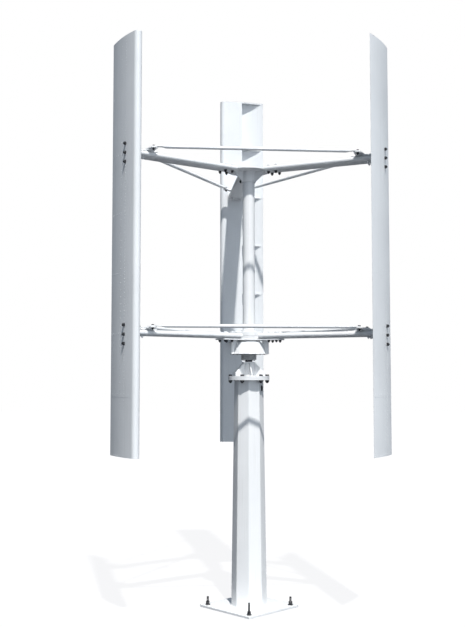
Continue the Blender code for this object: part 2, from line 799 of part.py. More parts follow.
# ---- assembly ---------------------------------------------------------------------------
def main():
    clear_scene()
    collection = bpy.data.collections.new("small_wind_turbine")
    bpy.context.scene.collection.children.link(collection)
    materials = {name: make_material(name, *look) for name, look in LOOKS.items()}

    rotor_axis = bpy.data.objects.new("rotor_axis", None)
    collection.objects.link(rotor_axis)

    def add(name, mesh, look, smooth=False, place=(0.0, 0.0, 0.0), turn=0.0, on_rotor=False):
        mesh.name = name
        mesh.materials.clear()
        mesh.materials.append(materials[look])
        if smooth:
            mesh.shade_smooth()
            mesh.set_sharp_from_angle(angle=radians(30.0))
        else:
            mesh.shade_flat()
        item = bpy.data.objects.new(name, mesh)
        item.location = place
        item.rotation_euler.z = turn
        if on_rotor:
            item.parent = rotor_axis
        collection.objects.link(item)

    # Mast
    add("base_plate", base_plate(), "white_paint")
    for i, ((x, y), rise) in enumerate(zip(anchor_places(), ANCHOR_RISES), 1):
        add(f"anchor_bolt_{i}", anchor_bolt(rise), "zinc_steel", True, (x, y, 0.0))
    add("tower_tube", tower_tube(), "white_paint")
    add("cable_grommet", cable_grommet(), "black_rubber", True)
    add("tower_flange", flange(TOWER_TOP), "white_paint", True)
    add("adapter_flange", flange(FLANGE_JOINT + GAP), "white_paint", True)
    bolt = flange_bolt()
    for i, angle in enumerate(flange_bolt_angles(), 1):
        place = (FLANGE_BOLT_CIRCLE * cos(angle), FLANGE_BOLT_CIRCLE * sin(angle), 0.0)
        add(f"flange_bolt_{i}", bolt, "zinc_steel", True, place)
    add("adapter_stand", adapter_stand(), "white_paint", True)

    # Generator
    add("stator_shaft", stator_shaft(), "dark_steel", True)
    add("stator_neck", stator_neck(), "generator_grey", True)
    add("stator_core", stator_core(), "laminated_steel", True)
    crown_bearing = HOUSING_TOP - 0.004
    tube_bearing = SHAFT_TOP - 0.004 - BEARING_WIDTH
    add("bearing_lower", bearing(crown_bearing - BEARING_WIDTH / 2), "bearing_steel", True)
    add("bearing_upper", bearing(tube_bearing), "bearing_steel", True)
    add("generator_housing", generator_housing(), "white_paint", True, on_rotor=True)
    add("generator_cover", generator_cover(), "generator_grey", True, on_rotor=True)
    add("magnet_ring", magnet_ring(), "magnet_nickel", True, on_rotor=True)

    # Rotor frame
    add("rotor_tube", rotor_tube(), "white_paint", True, turn=ARM_AZIMUTH, on_rotor=True)
    add("upper_hub", upper_hub(), "white_paint", True, turn=ARM_AZIMUTH, on_rotor=True)
    add("lower_hub", lower_hub(), "white_paint", True, turn=ARM_AZIMUTH, on_rotor=True)
    tie, bracket, anchor = tie_rod(), tip_bracket(), blade_anchor()
    tie_distance = tie_span()[1]
    for level, height in ARM_HEIGHTS.items():
        strut = arm(level)
        for i in range(ARM_COUNT):
            turn = ARM_AZIMUTH + 2 * pi * i / ARM_COUNT
            between = turn + pi / ARM_COUNT
            place = (0.0, 0.0, height)
            tie_place = (tie_distance * cos(between), tie_distance * sin(between),
                         height + TIE_HEIGHT)
            anchor_place = (0.0, 0.0, BLADE_BOLT_HEIGHTS[level])
            number = i + 1
            add(f"arm_{level}_{number}", strut, "white_paint", True, place, turn, True)
            add(f"tie_rod_{level}_{number}", tie, "white_paint", True, tie_place, between, True)
            add(f"tip_bracket_{level}_{number}", bracket, "white_paint", False, place, turn, True)
            add(f"blade_anchor_{level}_{number}", anchor, "zinc_steel", False, anchor_place,
                turn, True)

    # Blades
    outer, inner, frame = blade_outer_skin(), blade_inner_skin(), blade_frame()
    for i in range(ARM_COUNT):
        turn = ARM_AZIMUTH + 2 * pi * i / ARM_COUNT
        number = i + 1
        add(f"blade_outer_skin_{number}", outer, "blade_white", True, turn=turn, on_rotor=True)
        add(f"blade_inner_skin_{number}", inner, "blade_white", turn=turn, on_rotor=True)
        add(f"blade_frame_{number}", frame, "blade_white", turn=turn, on_rotor=True)


main()
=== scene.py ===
"""Detailed view of a small vertical-axis wind turbine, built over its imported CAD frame.

Metres, +Z up, in the frame of the CAD model. Shapes that repeat around the rotor are made
once along +X (X radial, Y tangential) and turned onto the azimuth of each CAD arm.
"""
from math import atan, atan2, cos, hypot, pi, radians, sin

import bmesh
import bpy
from mathutils import Matrix, Vector


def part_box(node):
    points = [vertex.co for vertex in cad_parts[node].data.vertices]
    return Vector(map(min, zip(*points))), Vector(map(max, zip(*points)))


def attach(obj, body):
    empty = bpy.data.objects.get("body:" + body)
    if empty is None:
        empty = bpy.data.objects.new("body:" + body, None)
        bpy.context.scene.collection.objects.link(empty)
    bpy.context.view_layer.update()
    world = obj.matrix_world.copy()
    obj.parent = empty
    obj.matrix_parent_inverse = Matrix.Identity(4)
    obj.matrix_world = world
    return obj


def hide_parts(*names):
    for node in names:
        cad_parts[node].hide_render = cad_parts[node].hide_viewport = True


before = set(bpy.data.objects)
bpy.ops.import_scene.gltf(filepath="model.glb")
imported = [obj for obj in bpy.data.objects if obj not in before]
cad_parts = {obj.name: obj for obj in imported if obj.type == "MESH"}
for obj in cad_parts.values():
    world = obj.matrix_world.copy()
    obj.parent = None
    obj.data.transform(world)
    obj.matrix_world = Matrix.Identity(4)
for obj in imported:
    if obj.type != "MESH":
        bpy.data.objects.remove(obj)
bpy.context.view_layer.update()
SCENE = bpy.context.scene

# ---- dimensions that a node's box doesn't give ----
SPOKES = 3
LEVELS = ("upper", "lower")
TOWER_SIDES = 8
CORNER_BEND = 0.010  # bend radius of the folded tower plate
STUD_PITCH = 0.002
TUBE_RADIUS = 0.0445  # the rotor tube, and the pipe of the stand
TUBE_WALL = 0.004
FLANGE_BORE = 0.040
GUSSET = 0.008  # thickness of every gusset plate
GUSSET_BEAD = 0.0048  # from a gusset's middle plane to the bead beside it
STAND_BORE = 0.0395
STAND_PLATE = 0.049  # radius of the stand's top plate
STAND_NECK = 0.0067  # from the stand's top down to the end of its pipe
STAND_REACH = 0.125  # of its gussets, which end in a toe this high
STAND_TOE = 0.022

SKIN = 0.0015
INSIDE = 0.0004  # keeps the smooth skin inside the CAD model's flat facets
NOSE_RADIUS = 0.029
OUTER_SLOPE = 0.08  # rise of the outer skin just behind the nose
OUTER_DROP = 0.4567  # curvature that brings it down to the trailing edge
WEB_STATION = 0.1805  # from the nose
RIB_COUNT = 8
RIB_THICKNESS = 0.003
LIP = 0.0016  # thickness of the ribs' lips
BOLT_PITCH = 0.0625  # blade bolts, along the blade
RIVET_PITCH = 0.024
PAD_GAP = 0.0004  # between the blade's skin and the stud pad behind it
RUN_OFF = 0.16  # length of the stain below a blade bolt

ARM_POWER = 2.8  # roundness of the arm's section
ARM_CROWN = 0.0018  # how far its face has curved away at the clamp bolts
ROOT_BOLT_RADII = (0.174, 0.232)
ROOT_BOLT_OFFSET = 0.035
TIP_BOLT_RADII = (0.912, 0.938)
TIP_BOLT_OFFSET = 0.031
LOBE_HALF_WIDTH = 0.055
UPPER_DISC_RADIUS = 0.155
LOWER_DRUM_RADIUS = 0.099
LOWER_DRUM_BASE = 0.1005
DRUM_GROOVE = (0.0024, 0.006)  # height and depth, between the two flanges of the drum
HUB_SLEEVE_RADIUS = 0.0525
HUB_BORE = 0.0448
HUB_PLATE = 0.0095
FIT = 0.0003  # clearance left between touching pieces
HOUSING_FLARE = 0.029  # how much wider the housing is at its rim
HOUSING_CROWN = 0.0115  # height of the bearing seat over the cone
GUSSET_CLEARANCE = 0.0015  # from the hanging gussets to the housing
LOWER_GUSSET_REACH = 0.157
TIE_END = (0.866, 0.092)  # radial and tangential place of a tie's bolt on the arm
TIE_ABOVE_ARM = 0.046
TIE_RADIUS = 0.0125
TIE_FLAT = (0.016, 0.003, 4.0)  # pressed end: half its width and thickness, and its power
STRAP = 0.005  # thicknesses of a tip bracket's strap, lug and end plate
LUG = 0.008
END_PLATE = 0.008

# Fasteners: shank radius, half the width across flats, head or nut height
M16 = (0.008, 0.012, 0.013)
M12 = (0.006, 0.0095, 0.010)
M10 = (0.005, 0.0085, 0.008)
M6 = (0.003, 0.005, 0.004)
WASHER_SHARE = 0.28  # thickness, as a share of the shank radius
PITCH_SHARE = 0.26

# ---- camera and light ----
CAMERA_PLACE = (4.865, -4.865, 1.637)
CAMERA_TURN = (radians(93.91), 0.0, radians(45.99))
CAMERA_LENS = 54.08
# Lamps: name, direction towards the lamp, power, spread in degrees, colour
LAMPS = (
    ("key", (0.449, -0.281, 0.848), 4.4, 1.5, (1.0, 0.985, 0.96)),
    ("fill", (0.95, -0.26, 0.17), 1.0, 90.0, (0.84, 0.92, 1.0)),
)
SKY_BELOW = (0.105, 0.112, 0.125)
SKY_ABOVE = (0.20, 0.24, 0.29)

# ---- colours of dirt ----
RAIN_STREAK = (0.46, 0.45, 0.42)
DUST = (0.38, 0.36, 0.33)
STAIN = (0.30, 0.28, 0.26)
WORN = (0.40, 0.40, 0.40)
RUST = (0.20, 0.09, 0.04)


# ---- shapes: a shape is (points, faces) ----
def loft(rings, wrap=False):
    """Join closed rings of equal length; wrap joins the last ring to the first."""
    count = len(rings[0])
    points = [Vector(p) for ring in rings for p in ring]
    faces = []
    spans = len(rings) if wrap else len(rings) - 1
    for r in range(spans):
        near = r * count
        far = (r + 1) % len(rings) * count
        for i in range(count):
            j = (i + 1) % count
            faces.append((near + i, near + j, far + j, far + i))
    if not wrap:
        faces.append(tuple(range(count))[::-1])
        faces.append(tuple(range(len(points) - count, len(points))))
    return points, faces


def moved(shape, matrix):
    return [matrix @ p for p in shape[0]], shape[1]


def carried(path, matrix):
    return [matrix @ Vector(p) for p in path]


def joined(shapes):
    points, faces = [], []
    for some_points, some_faces in shapes:
        start = len(points)
        points += some_points
        faces += [tuple(i + start for i in face) for face in some_faces]
    return points, faces


def even_angles(count):
    return [2 * pi * i / count for i in range(count)]


def circle(radius, z, segments):
    return [(radius * cos(a), radius * sin(a), z) for a in even_angles(segments)]


def turned(profile, segments=96, hollow=True):
    """Turn (radius, z) points about Z; a hollow profile is a closed loop clear of the axis."""
    return loft([circle(r, z, segments) for r, z in profile], wrap=hollow)


def ring(outer, bore, low, high, segments=96):
    return turned([(outer, low), (outer, high), (bore, high), (bore, low)], segments)


def prism(outline, low, high):
    return loft([[(x, y, z) for x, y in outline] for z in (low, high)])


def along_x(outline, low, high):
    """A bar along X from a (y, z) outline."""
    return loft([[(x, y, z) for y, z in outline] for x in (low, high)])


def rectangle(x0, y0, x1, y1):
    return [(x0, y0), (x1, y0), (x1, y1), (x0, y1)]


def rounded(corners, radius, steps=6):
    """Replace each corner of a convex outline with an arc that meets both its sides."""
    outline = []
    count = len(corners)
    for i, corner in enumerate(corners):
        here = Vector(corner)
        before = (Vector(corners[i - 1]) - here).normalized()
        after = (Vector(corners[(i + 1) % count]) - here).normalized()
        half = before.angle(after) / 2
        reach = radius / sin(half)
        centre = here + (before + after).normalized() * reach
        start = here + before * (reach * cos(half))
        end = here + after * (reach * cos(half))
        for k in range(steps + 1):
            mid = (start.lerp(end, k / steps) - centre).normalized()
            outline.append(tuple(centre + mid * radius))
    return outline


def gusset_plate(outline):
    """A plate in the XZ plane from an (x, z) outline."""
    return loft([[(x, y, z) for x, z in outline] for y in (-GUSSET / 2, GUSSET / 2)])


def oval(half_width, half_height, power, count):
    points = []
    for angle in even_angles(count):
        reach = (abs(cos(angle)) ** power + abs(sin(angle)) ** power) ** (-1 / power)
        points.append((half_width * reach * cos(angle), half_height * reach * sin(angle)))
    return points


def hexagon(half_flats, limit, z):
    """A hexagon trimmed to a round limit, as a chamfered nut is."""
    points = []
    for angle in even_angles(36):
        reach = min(half_flats / cos(angle % (pi / 3) - pi / 6), limit)
        points.append((reach * cos(angle), reach * sin(angle), z))
    return points


def nut(half_flats, low, high, both_ends=True):
    corner = half_flats / cos(pi / 6)
    face = half_flats * 1.01
    chamfer = (corner - face) * 0.45
    limits = [(face, low), (corner, low + chamfer)] if both_ends else [(corner, low)]
    limits += [(corner, high - chamfer), (face, high)]
    return loft([hexagon(half_flats, limit, z) for limit, z in limits])


def washer(bore, reach, low, high):
    edge = (high - low) * 0.25
    return turned([(reach, low), (reach, high - edge), (reach - edge, high), (bore, high),
                   (bore, low)], 32)


def thread(radius, low, high, pitch):
    """A rod with a true helical thread and a chamfered end."""
    segments = 20
    steps = max(4, round((high - low) / pitch * 4))
    depth = pitch * 0.5
    rings = []
    for s in range(steps + 1):
        z = low + (high - low) * s / steps
        fade = min(1.0, (steps - s) / 4, s / 4)
        points = []
        for i, angle in enumerate(even_angles(segments)):
            phase = (z / pitch - i / segments) % 1.0
            reach = radius - depth * abs(2 * phase - 1) - (1 - fade) * depth * 0.6
            points.append((reach * cos(angle), reach * sin(angle), z))
        rings.append(points)
    return loft(rings)


def bolt_head(size, high):
    """A through bolt's washer and head, on top of what it clamps."""
    shank, half_flats, height = size
    plate = shank * WASHER_SHARE
    return joined([
        washer(shank, shank * 2.0, high, high + plate),
        nut(half_flats, high + plate, high + plate + height * 0.7, both_ends=False),
    ])


def bolt_tail(size, low):
    """A through bolt's washer, nut and thread end, below what it clamps."""
    tail = 0.006
    shank, half_flats, height = size
    plate = shank * WASHER_SHARE
    return joined([
        washer(shank, shank * 2.0, low - plate, low),
        nut(half_flats, low - plate - height, low - plate),
        thread(shank, low - plate - height - tail, low - plate, shank * PITCH_SHARE),
    ])


def bolt(size, low, high):
    return joined([bolt_head(size, high), bolt_tail(size, low)])


def stud_end(size, face, top):
    """What shows of a stud on one side: washer, nut and thread."""
    shank, half_flats, height = size
    plate = shank * WASHER_SHARE
    return joined([
        washer(shank, shank * 2.0, face, face + plate),
        nut(half_flats, face + plate, face + plate + height),
        thread(shank, face, top, shank * PITCH_SHARE),
    ])


def dome(radius, height):
    """A rivet head, sunk a little into the sheet."""
    profile = [(radius, -0.0004), (radius, height * 0.3), (radius * 0.75, height * 0.78),
               (radius * 0.35, height)]
    return turned(profile, 10, hollow=False)


def copies(shape, matrices):
    return joined([moved(shape, matrix) for matrix in matrices])


def at(x, y, z=0.0):
    return Matrix.Translation((x, y, z))


def spin(angle):
    return Matrix.Rotation(angle, 4, "Z")


def around(first=0.0):
    """A turn onto each spoke, starting from the first."""
    return [spin(first + angle) for angle in even_angles(SPOKES)]


# ---- pieces ----
def make_mesh(name, shape):
    points, faces = shape
    mesh = bpy.data.meshes.new(name)
    mesh.from_pydata([tuple(p) for p in points], [], faces)
    bm = bmesh.new()
    bm.from_mesh(mesh)
    bmesh.ops.recalc_face_normals(bm, faces=bm.faces)
    bm.to_mesh(mesh)
    bm.free()
    mesh.shade_smooth()
    mesh.set_sharp_from_angle(angle=radians(32.0))
    return mesh


def add_object(name, data):
    item = bpy.data.objects.new(name, data)
    SCENE.collection.objects.link(item)
    return item


def finish_piece(item, body, nodes, finish):
    """Give a piece its look, the body it rides on and the nodes it stands for."""
    look, slot = finish
    item.data.materials.append(look)
    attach(item, body)
    if nodes:
        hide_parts(*nodes)
    return item


def piece(name, shape, body, nodes, finish, edge=0.0):
    """A named mesh that rides on a body, stands for CAD nodes and has rounded edges."""
    item = add_object(name, make_mesh(name, shape))
    if edge:
        bevel = item.modifiers.new("edges", "BEVEL")
        bevel.width = edge
        bevel.segments = 2
        bevel.limit_method = "ANGLE"
        bevel.angle_limit = radians(38.0)
        bevel.harden_normals = True
    return finish_piece(item, body, nodes, finish)


def weld_piece(name, paths, body):
    """Rippled weld beads along open or closed paths."""
    spacing = 0.0022
    curve = bpy.data.curves.new(name, "CURVE")
    curve.dimensions = "3D"
    curve.bevel_depth = 0.0028
    curve.bevel_resolution = 2
    curve.use_fill_caps = True
    for path, closed in paths:
        places = resampled([Vector(p) for p in path], closed, spacing)
        spline = curve.splines.new("POLY")
        spline.points.add(len(places) - 1)
        for i, (point, place) in enumerate(zip(spline.points, places)):
            point.co = (*place, 1.0)
            point.radius = 1.0 + 0.16 * sin(i * 2.1) + 0.05 * sin(i * 0.37)
        spline.use_cyclic_u = closed
    return finish_piece(add_object(name, curve), body, (), WELD)


def resampled(path, closed, spacing):
    corners = path + path[:1] if closed else path
    places = []
    for a, b in zip(corners, corners[1:]):
        steps = max(1, round((b - a).length / spacing))
        places += [a.lerp(b, i / steps) for i in range(steps)]
    if not closed:
        places.append(corners[-1])
    return places


# ---- places read from the frame ----
def centre_of(node):
    low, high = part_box(node)
    return (low + high) / 2


def azimuth_of(node):
    centre = centre_of(node)
    return atan2(centre.y, centre.x)


def spoke_box(node, turn):
    """A node's box after turning its spoke back onto +X."""
    back = spin(-turn)
    points = [back @ v.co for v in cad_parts[node].data.vertices]
    low = Vector([min(p[i] for p in points) for i in range(3)])
    high = Vector([max(p[i] for p in points) for i in range(3)])
    return low, high


ARM_TURNS = {i: azimuth_of(f"arm_upper_{i}") for i in range(1, SPOKES + 1)}
TURN = ARM_TURNS[1]
ARM_LOW, ARM_HIGH = spoke_box("arm_upper_1", TURN)
ARM_THICKNESS = ARM_HIGH.z - ARM_LOW.z
ARM_CENTRES = {level: sum(corner.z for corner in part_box(f"arm_{level}_1")) / 2
               for level in LEVELS}
SKIN_LOW, SKIN_HIGH = spoke_box("blade_outer_skin_1", TURN)
INNER_FACE = spoke_box("blade_inner_skin_1", TURN)[0].x
NOSE_CENTRE = INNER_FACE + NOSE_RADIUS
NOSE_END = atan(OUTER_SLOPE)  # angle at which the nose's arc meets the outer curve
OUTER_START = NOSE_RADIUS * (1 - sin(NOSE_END))
OUTER_HEIGHT = NOSE_CENTRE + NOSE_RADIUS * cos(NOSE_END)
NOSE_Y = SKIN_HIGH.y
CHORD = SKIN_HIGH.y - SKIN_LOW.y
BLADE_BOTTOM, BLADE_TOP = SKIN_LOW.z, SKIN_HIGH.z
RIB_PITCH = (BLADE_TOP - BLADE_BOTTOM - RIB_THICKNESS) / (RIB_COUNT - 1)
RIB_HEIGHTS = [BLADE_BOTTOM + i * RIB_PITCH for i in range(RIB_COUNT)]
ANCHOR_BOXES = {level: spoke_box(f"blade_anchor_{level}_1", TURN) for level in LEVELS}
ANCHOR_CENTRES = {level: (low.z + high.z) / 2 for level, (low, high) in ANCHOR_BOXES.items()}


# ---- materials ----
def shader_tree(name):
    material = bpy.data.materials.new(name)
    material.use_nodes = True
    return material, material.node_tree, material.node_tree.nodes["Principled BSDF"]


def set_inputs(node, values):
    for socket, value in values.items():
        node.inputs[socket].default_value = value


def add_node(tree, kind, values):
    """A shader node with some of its inputs set."""
    node = tree.nodes.new(kind)
    set_inputs(node, values)
    return node


def noise(tree, scale, stretch=(1.0, 1.0, 1.0), detail=3.0, roughness=0.55):
    """Noise on object coordinates in metres, stretched along each axis."""
    place = tree.nodes.new("ShaderNodeTexCoord")
    mapping = add_node(tree, "ShaderNodeMapping", {"Scale": stretch})
    texture = add_node(tree, "ShaderNodeTexNoise",
                       {"Scale": scale, "Detail": detail, "Roughness": roughness})
    tree.links.new(place.outputs["Object"], mapping.inputs["Vector"])
    tree.links.new(mapping.outputs["Vector"], texture.inputs["Vector"])
    return texture.outputs["Fac"]


def span(tree, value, low, high, out_low=0.0, out_high=1.0):
    """Map a value from low..high onto out_low..out_high, clamped."""
    node = add_node(tree, "ShaderNodeMapRange", {"From Min": low, "From Max": high,
                                                 "To Min": out_low, "To Max": out_high})
    tree.links.new(value, node.inputs["Value"])
    return node.outputs["Result"]


def times(tree, a, b):
    node = tree.nodes.new("ShaderNodeMath")
    node.operation = "MULTIPLY"
    tree.links.new(a, node.inputs[0])
    if isinstance(b, float):
        node.inputs[1].default_value = b
    else:
        tree.links.new(b, node.inputs[1])
    return node.outputs["Value"]


def blend(tree, factor, first, second):
    """Mix two colours; each is a constant or a socket."""
    node = tree.nodes.new("ShaderNodeMix")
    node.data_type = "RGBA"
    tree.links.new(factor, node.inputs["Factor"])
    for colour, socket in ((first, node.inputs[6]), (second, node.inputs[7])):
        if isinstance(colour, tuple):
            socket.default_value = (*colour, 1.0)
        else:
            tree.links.new(colour, socket)
    return node.outputs[2]


def surface(tree, shader, base, clouds, gloss, layers):
    """Link colour, cloudy roughness and bumps: (height, strength, distance in metres)."""
    tree.links.new(base, shader.inputs["Base Color"])
    tree.links.new(span(tree, clouds, 0.3, 0.7, *gloss), shader.inputs["Roughness"])
    normal = None
    for height, strength, distance in layers:
        bump = add_node(tree, "ShaderNodeBump", {"Strength": strength, "Distance": distance})
        tree.links.new(height, bump.inputs["Height"])
        if normal:
            tree.links.new(normal, bump.inputs["Normal"])
        normal = bump.outputs["Normal"]
    tree.links.new(normal, shader.inputs["Normal"])


def worn_edges(tree):
    geometry = tree.nodes.new("ShaderNodeNewGeometry")
    ragged = noise(tree, 140.0, detail=4.0)
    edge = span(tree, geometry.outputs["Pointiness"], 0.53, 0.60)
    return times(tree, edge, span(tree, ragged, 0.45, 0.62))


def paint(name, colour, dirt=0.22, waves=0.25, gloss=(0.30, 0.46), stained=False):
    """Outdoor paint: tone drift, rain streaks, dust, worn edges, orange peel."""
    material, tree, shader = shader_tree(name)
    darker = tuple(c * 0.93 for c in colour)
    tone = span(tree, noise(tree, 1.7, detail=4.0), 0.35, 0.65)
    base = blend(tree, tone, darker, colour)
    streaks = noise(tree, 1.0, (70.0, 70.0, 1.6), 5.0, 0.62)
    rain = times(tree, span(tree, streaks, 0.55, 0.74), dirt)
    base = blend(tree, rain, base, RAIN_STREAK)
    dust = times(tree, span(tree, noise(tree, 420.0, detail=2.0), 0.62, 0.74), dirt * 0.05)
    base = blend(tree, dust, base, DUST)
    if stained:
        mark = tree.nodes.new("ShaderNodeAttribute")
        mark.attribute_name = "stain"
        broken = span(tree, noise(tree, 1.0, (160.0, 160.0, 12.0), 4.0), 0.36, 0.60)
        stain = times(tree, mark.outputs["Fac"], broken)
        base = blend(tree, stain, base, STAIN)
    wear = times(tree, worn_edges(tree), 0.06)
    base = blend(tree, wear, base, WORN)
    set_inputs(shader, {"Coat Weight": 0.12, "Coat Roughness": 0.25})
    surface(tree, shader, base, noise(tree, 9.0, detail=5.0), gloss, [
        (noise(tree, 5.0, (1.0, 1.0, 0.45), 1.0), waves, 0.0030),
        (noise(tree, 650.0, detail=1.0), 0.04, 0.0004),
    ])
    return material


def metal(name, colour, rust=0.25, gloss=(0.32, 0.52), brushed=(1.0, 1.0, 1.0)):
    """Bare or plated steel: cloudy plating, rust freckles and fine scratches."""
    material, tree, shader = shader_tree(name)
    darker = tuple(c * 0.62 for c in colour)
    cloud = span(tree, noise(tree, 60.0, detail=5.0), 0.35, 0.65)
    base = blend(tree, cloud, darker, colour)
    freckles = times(tree, span(tree, noise(tree, 240.0, detail=3.0), 0.60, 0.72), rust)
    base = blend(tree, freckles, base, RUST)
    shader.inputs["Metallic"].default_value = 0.9
    surface(tree, shader, base, noise(tree, 110.0, brushed, 4.0), gloss,
            [(noise(tree, 500.0, brushed, 3.0), 0.25, 0.0004)])
    return material


def layered(name, light, dark, pitch):
    """Stacked laminations: fine bands across Z."""
    material, tree, shader = shader_tree(name)
    place = tree.nodes.new("ShaderNodeTexCoord")
    wave = add_node(tree, "ShaderNodeTexWave", {"Scale": 0.314 / pitch, "Distortion": 0.4})
    wave.bands_direction = "Z"
    tree.links.new(place.outputs["Object"], wave.inputs["Vector"])
    bands = span(tree, wave.outputs["Fac"], 0.2, 0.8)
    base = blend(tree, bands, dark, light)
    shader.inputs["Metallic"].default_value = 0.7
    surface(tree, shader, base, noise(tree, 90.0), (0.4, 0.62),
            [(wave.outputs["Fac"], 0.4, 0.0004)])
    return material


def rubber(name):
    material, tree, shader = shader_tree(name)
    bloom = span(tree, noise(tree, 35.0, detail=5.0), 0.4, 0.7)
    base = blend(tree, bloom, (0.022, 0.022, 0.024), (0.060, 0.058, 0.055))
    surface(tree, shader, base, noise(tree, 60.0), (0.62, 0.85),
            [(noise(tree, 700.0, detail=2.0), 0.3, 0.0004)])
    return material


WHITE = (paint("white_paint_coat", (0.86, 0.87, 0.88)), "white_paint")
WELD = (paint("painted_weld", (0.80, 0.81, 0.82), dirt=0.4), "white_paint")
BLADE = (paint("blade_coat", (0.83, 0.85, 0.87), dirt=0.16, waves=0.5, stained=True),
         "blade_white")
GREY = (paint("generator_enamel", (0.42, 0.43, 0.44), dirt=0.3, gloss=(0.42, 0.58)),
        "generator_grey")
ZINC = (metal("weathered_fastener", (0.10, 0.10, 0.105)), "zinc_steel")
# Shaft steel whose dark colour is partly its own and partly painted shade for the recess under the
# generator neck
SHAFT_STEEL_WITH_SHADE = (metal("shaft_steel_painted_shade", (0.10, 0.10, 0.11), brushed=(1.0, 1.0, 12.0)), "dark_steel")
RUBBER = (rubber("grommet_rubber"), "black_rubber")
NODE_LOOKS = {
    "stator_core": layered("core_laminations", (0.30, 0.29, 0.28), (0.12, 0.12, 0.12), 0.0010),
    "magnet_ring": metal("magnet_plating", (0.62, 0.62, 0.60), 0.04, (0.18, 0.32)),
    "bearing_lower": metal("ground_bearing_steel", (0.56, 0.57, 0.58), 0.02, (0.12, 0.24)),
}
NODE_LOOKS["bearing_upper"] = NODE_LOOKS["bearing_lower"]


# ---- mast ----
def octagon(radius, z, bend):
    corners = [(x, y) for x, y, _ in circle(radius, z, TOWER_SIDES)]
    return [(x, y, z) for x, y in rounded(corners, bend, 5)]


def base_plate():
    low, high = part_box("base_plate")
    outline = rounded(rectangle(low.x, low.y, high.x, high.y), 0.006)
    piece("base_plate_detail", prism(outline, low.z, high.z), "mast", ["base_plate"], WHITE,
          0.0016)


def anchor_bolts():
    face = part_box("base_plate")[1].z
    for i in range(1, 5):
        low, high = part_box(f"anchor_bolt_{i}")
        centre = (low + high) / 2
        shank, half_flats, height = M16
        washer_top = face + 0.004
        lock_low = washer_top + height
        stud = joined([
            washer(shank, 0.0185, face, washer_top),
            nut(half_flats, washer_top, lock_low),
            nut(half_flats, lock_low, lock_low + height * 0.62),
            thread(shank, face, high.z, STUD_PITCH),
            turned([(shank * 0.9, low.z), (shank * 0.9, face)], 24, hollow=False),
        ])
        place = at(centre.x, centre.y) @ spin(0.3 * i)
        piece(f"anchor_stud_{i}", moved(stud, place), "mast", [f"anchor_bolt_{i}"], ZINC)


def tower_radii():
    low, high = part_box("tower_tube")
    top = max(v.co.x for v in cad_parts["tower_tube"].data.vertices
              if v.co.z > high.z - 0.001)
    return (high.x, low.z), (top, high.z)


def tower():
    (wide, bottom), (narrow, top) = tower_radii()
    inner_bend = CORNER_BEND - TUBE_WALL
    skin = loft([
        octagon(wide, bottom, CORNER_BEND), octagon(narrow, top, CORNER_BEND),
        octagon(narrow - TUBE_WALL, top, inner_bend), octagon(wide - TUBE_WALL, bottom, inner_bend),
    ], wrap=True)
    piece("tower_shell", skin, "mast", ["tower_tube"], WHITE, 0.0006)


def cable_outlet():
    """An oval rubber grommet with a sunk, slit membrane."""
    centre = centre_of("cable_grommet")
    (wide, bottom), (narrow, top) = tower_radii()
    slope = atan((wide - narrow) * cos(pi / TOWER_SIDES) / (top - bottom))
    reach = narrow + (wide - narrow) * (top - centre.z) / (top - bottom)
    distance = reach * cos(pi / TOWER_SIDES)
    place = (spin(azimuth_of("cable_grommet")) @ at(distance, 0.0, centre.z)
             @ Matrix.Rotation(pi / 2 - slope, 4, "Y"))
    # Height over the tower's face, then half the oval's length and width
    stages = [(-0.0035, 0.017, 0.0093), (0.0002, 0.017, 0.0093), (0.0002, 0.0215, 0.013),
              (0.0024, 0.0215, 0.013), (0.0044, 0.0203, 0.012), (0.0056, 0.018, 0.010),
              (0.005, 0.0155, 0.0078), (0.0012, 0.014, 0.0066), (0.0012, 0.0012, 0.005),
              (0.0002, 0.0010, 0.0048)]
    rings = [[(length * cos(a), width * sin(a), z) for a in even_angles(48)]
             for z, length, width in stages]
    piece("cable_grommet_detail", moved(loft(rings), place), "mast", ["cable_grommet"], RUBBER)


def flanges():
    for node in ("tower_flange", "adapter_flange"):
        low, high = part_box(node)
        piece(f"{node}_detail", ring(high.x, FLANGE_BORE, low.z, high.z, 128), "mast", [node],
              WHITE, 0.0012)
    grip_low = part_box("tower_flange")[0].z
    grip_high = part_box("adapter_flange")[1].z
    for i in range(1, 7):
        centre = centre_of(f"flange_bolt_{i}")
        shape = moved(bolt(M16, grip_low, grip_high), at(centre.x, centre.y) @ spin(0.4 * i))
        piece(f"flange_fastener_{i}", shape, "mast", [f"flange_bolt_{i}"], ZINC)


def flange_spokes():
    """Azimuths of the stand's gussets, halfway between neighbouring flange bolts."""
    first = azimuth_of("flange_bolt_1")
    return [first + pi / 6 + angle for angle in even_angles(6)]


def stand():
    """A pipe with a small top plate, braced by six gussets."""
    low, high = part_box("adapter_stand")
    neck = high.z - STAND_NECK
    pipe = turned([
        (TUBE_RADIUS, low.z), (TUBE_RADIUS, neck), (STAND_PLATE, neck + 0.0008),
        (STAND_PLATE, high.z), (STAND_BORE, high.z), (STAND_BORE, low.z),
    ])
    profile = [(STAND_BORE + 0.001, low.z), (STAND_REACH, low.z),
               (STAND_REACH, low.z + STAND_TOE), (STAND_PLATE - 0.001, neck + 0.001),
               (STAND_BORE + 0.001, neck + 0.001)]
    gussets = copies(gusset_plate(profile), [spin(angle) for angle in flange_spokes()])
    piece("adapter_stand_detail", joined([pipe, gussets]), "mast", ["adapter_stand"], WHITE,
          0.0012)


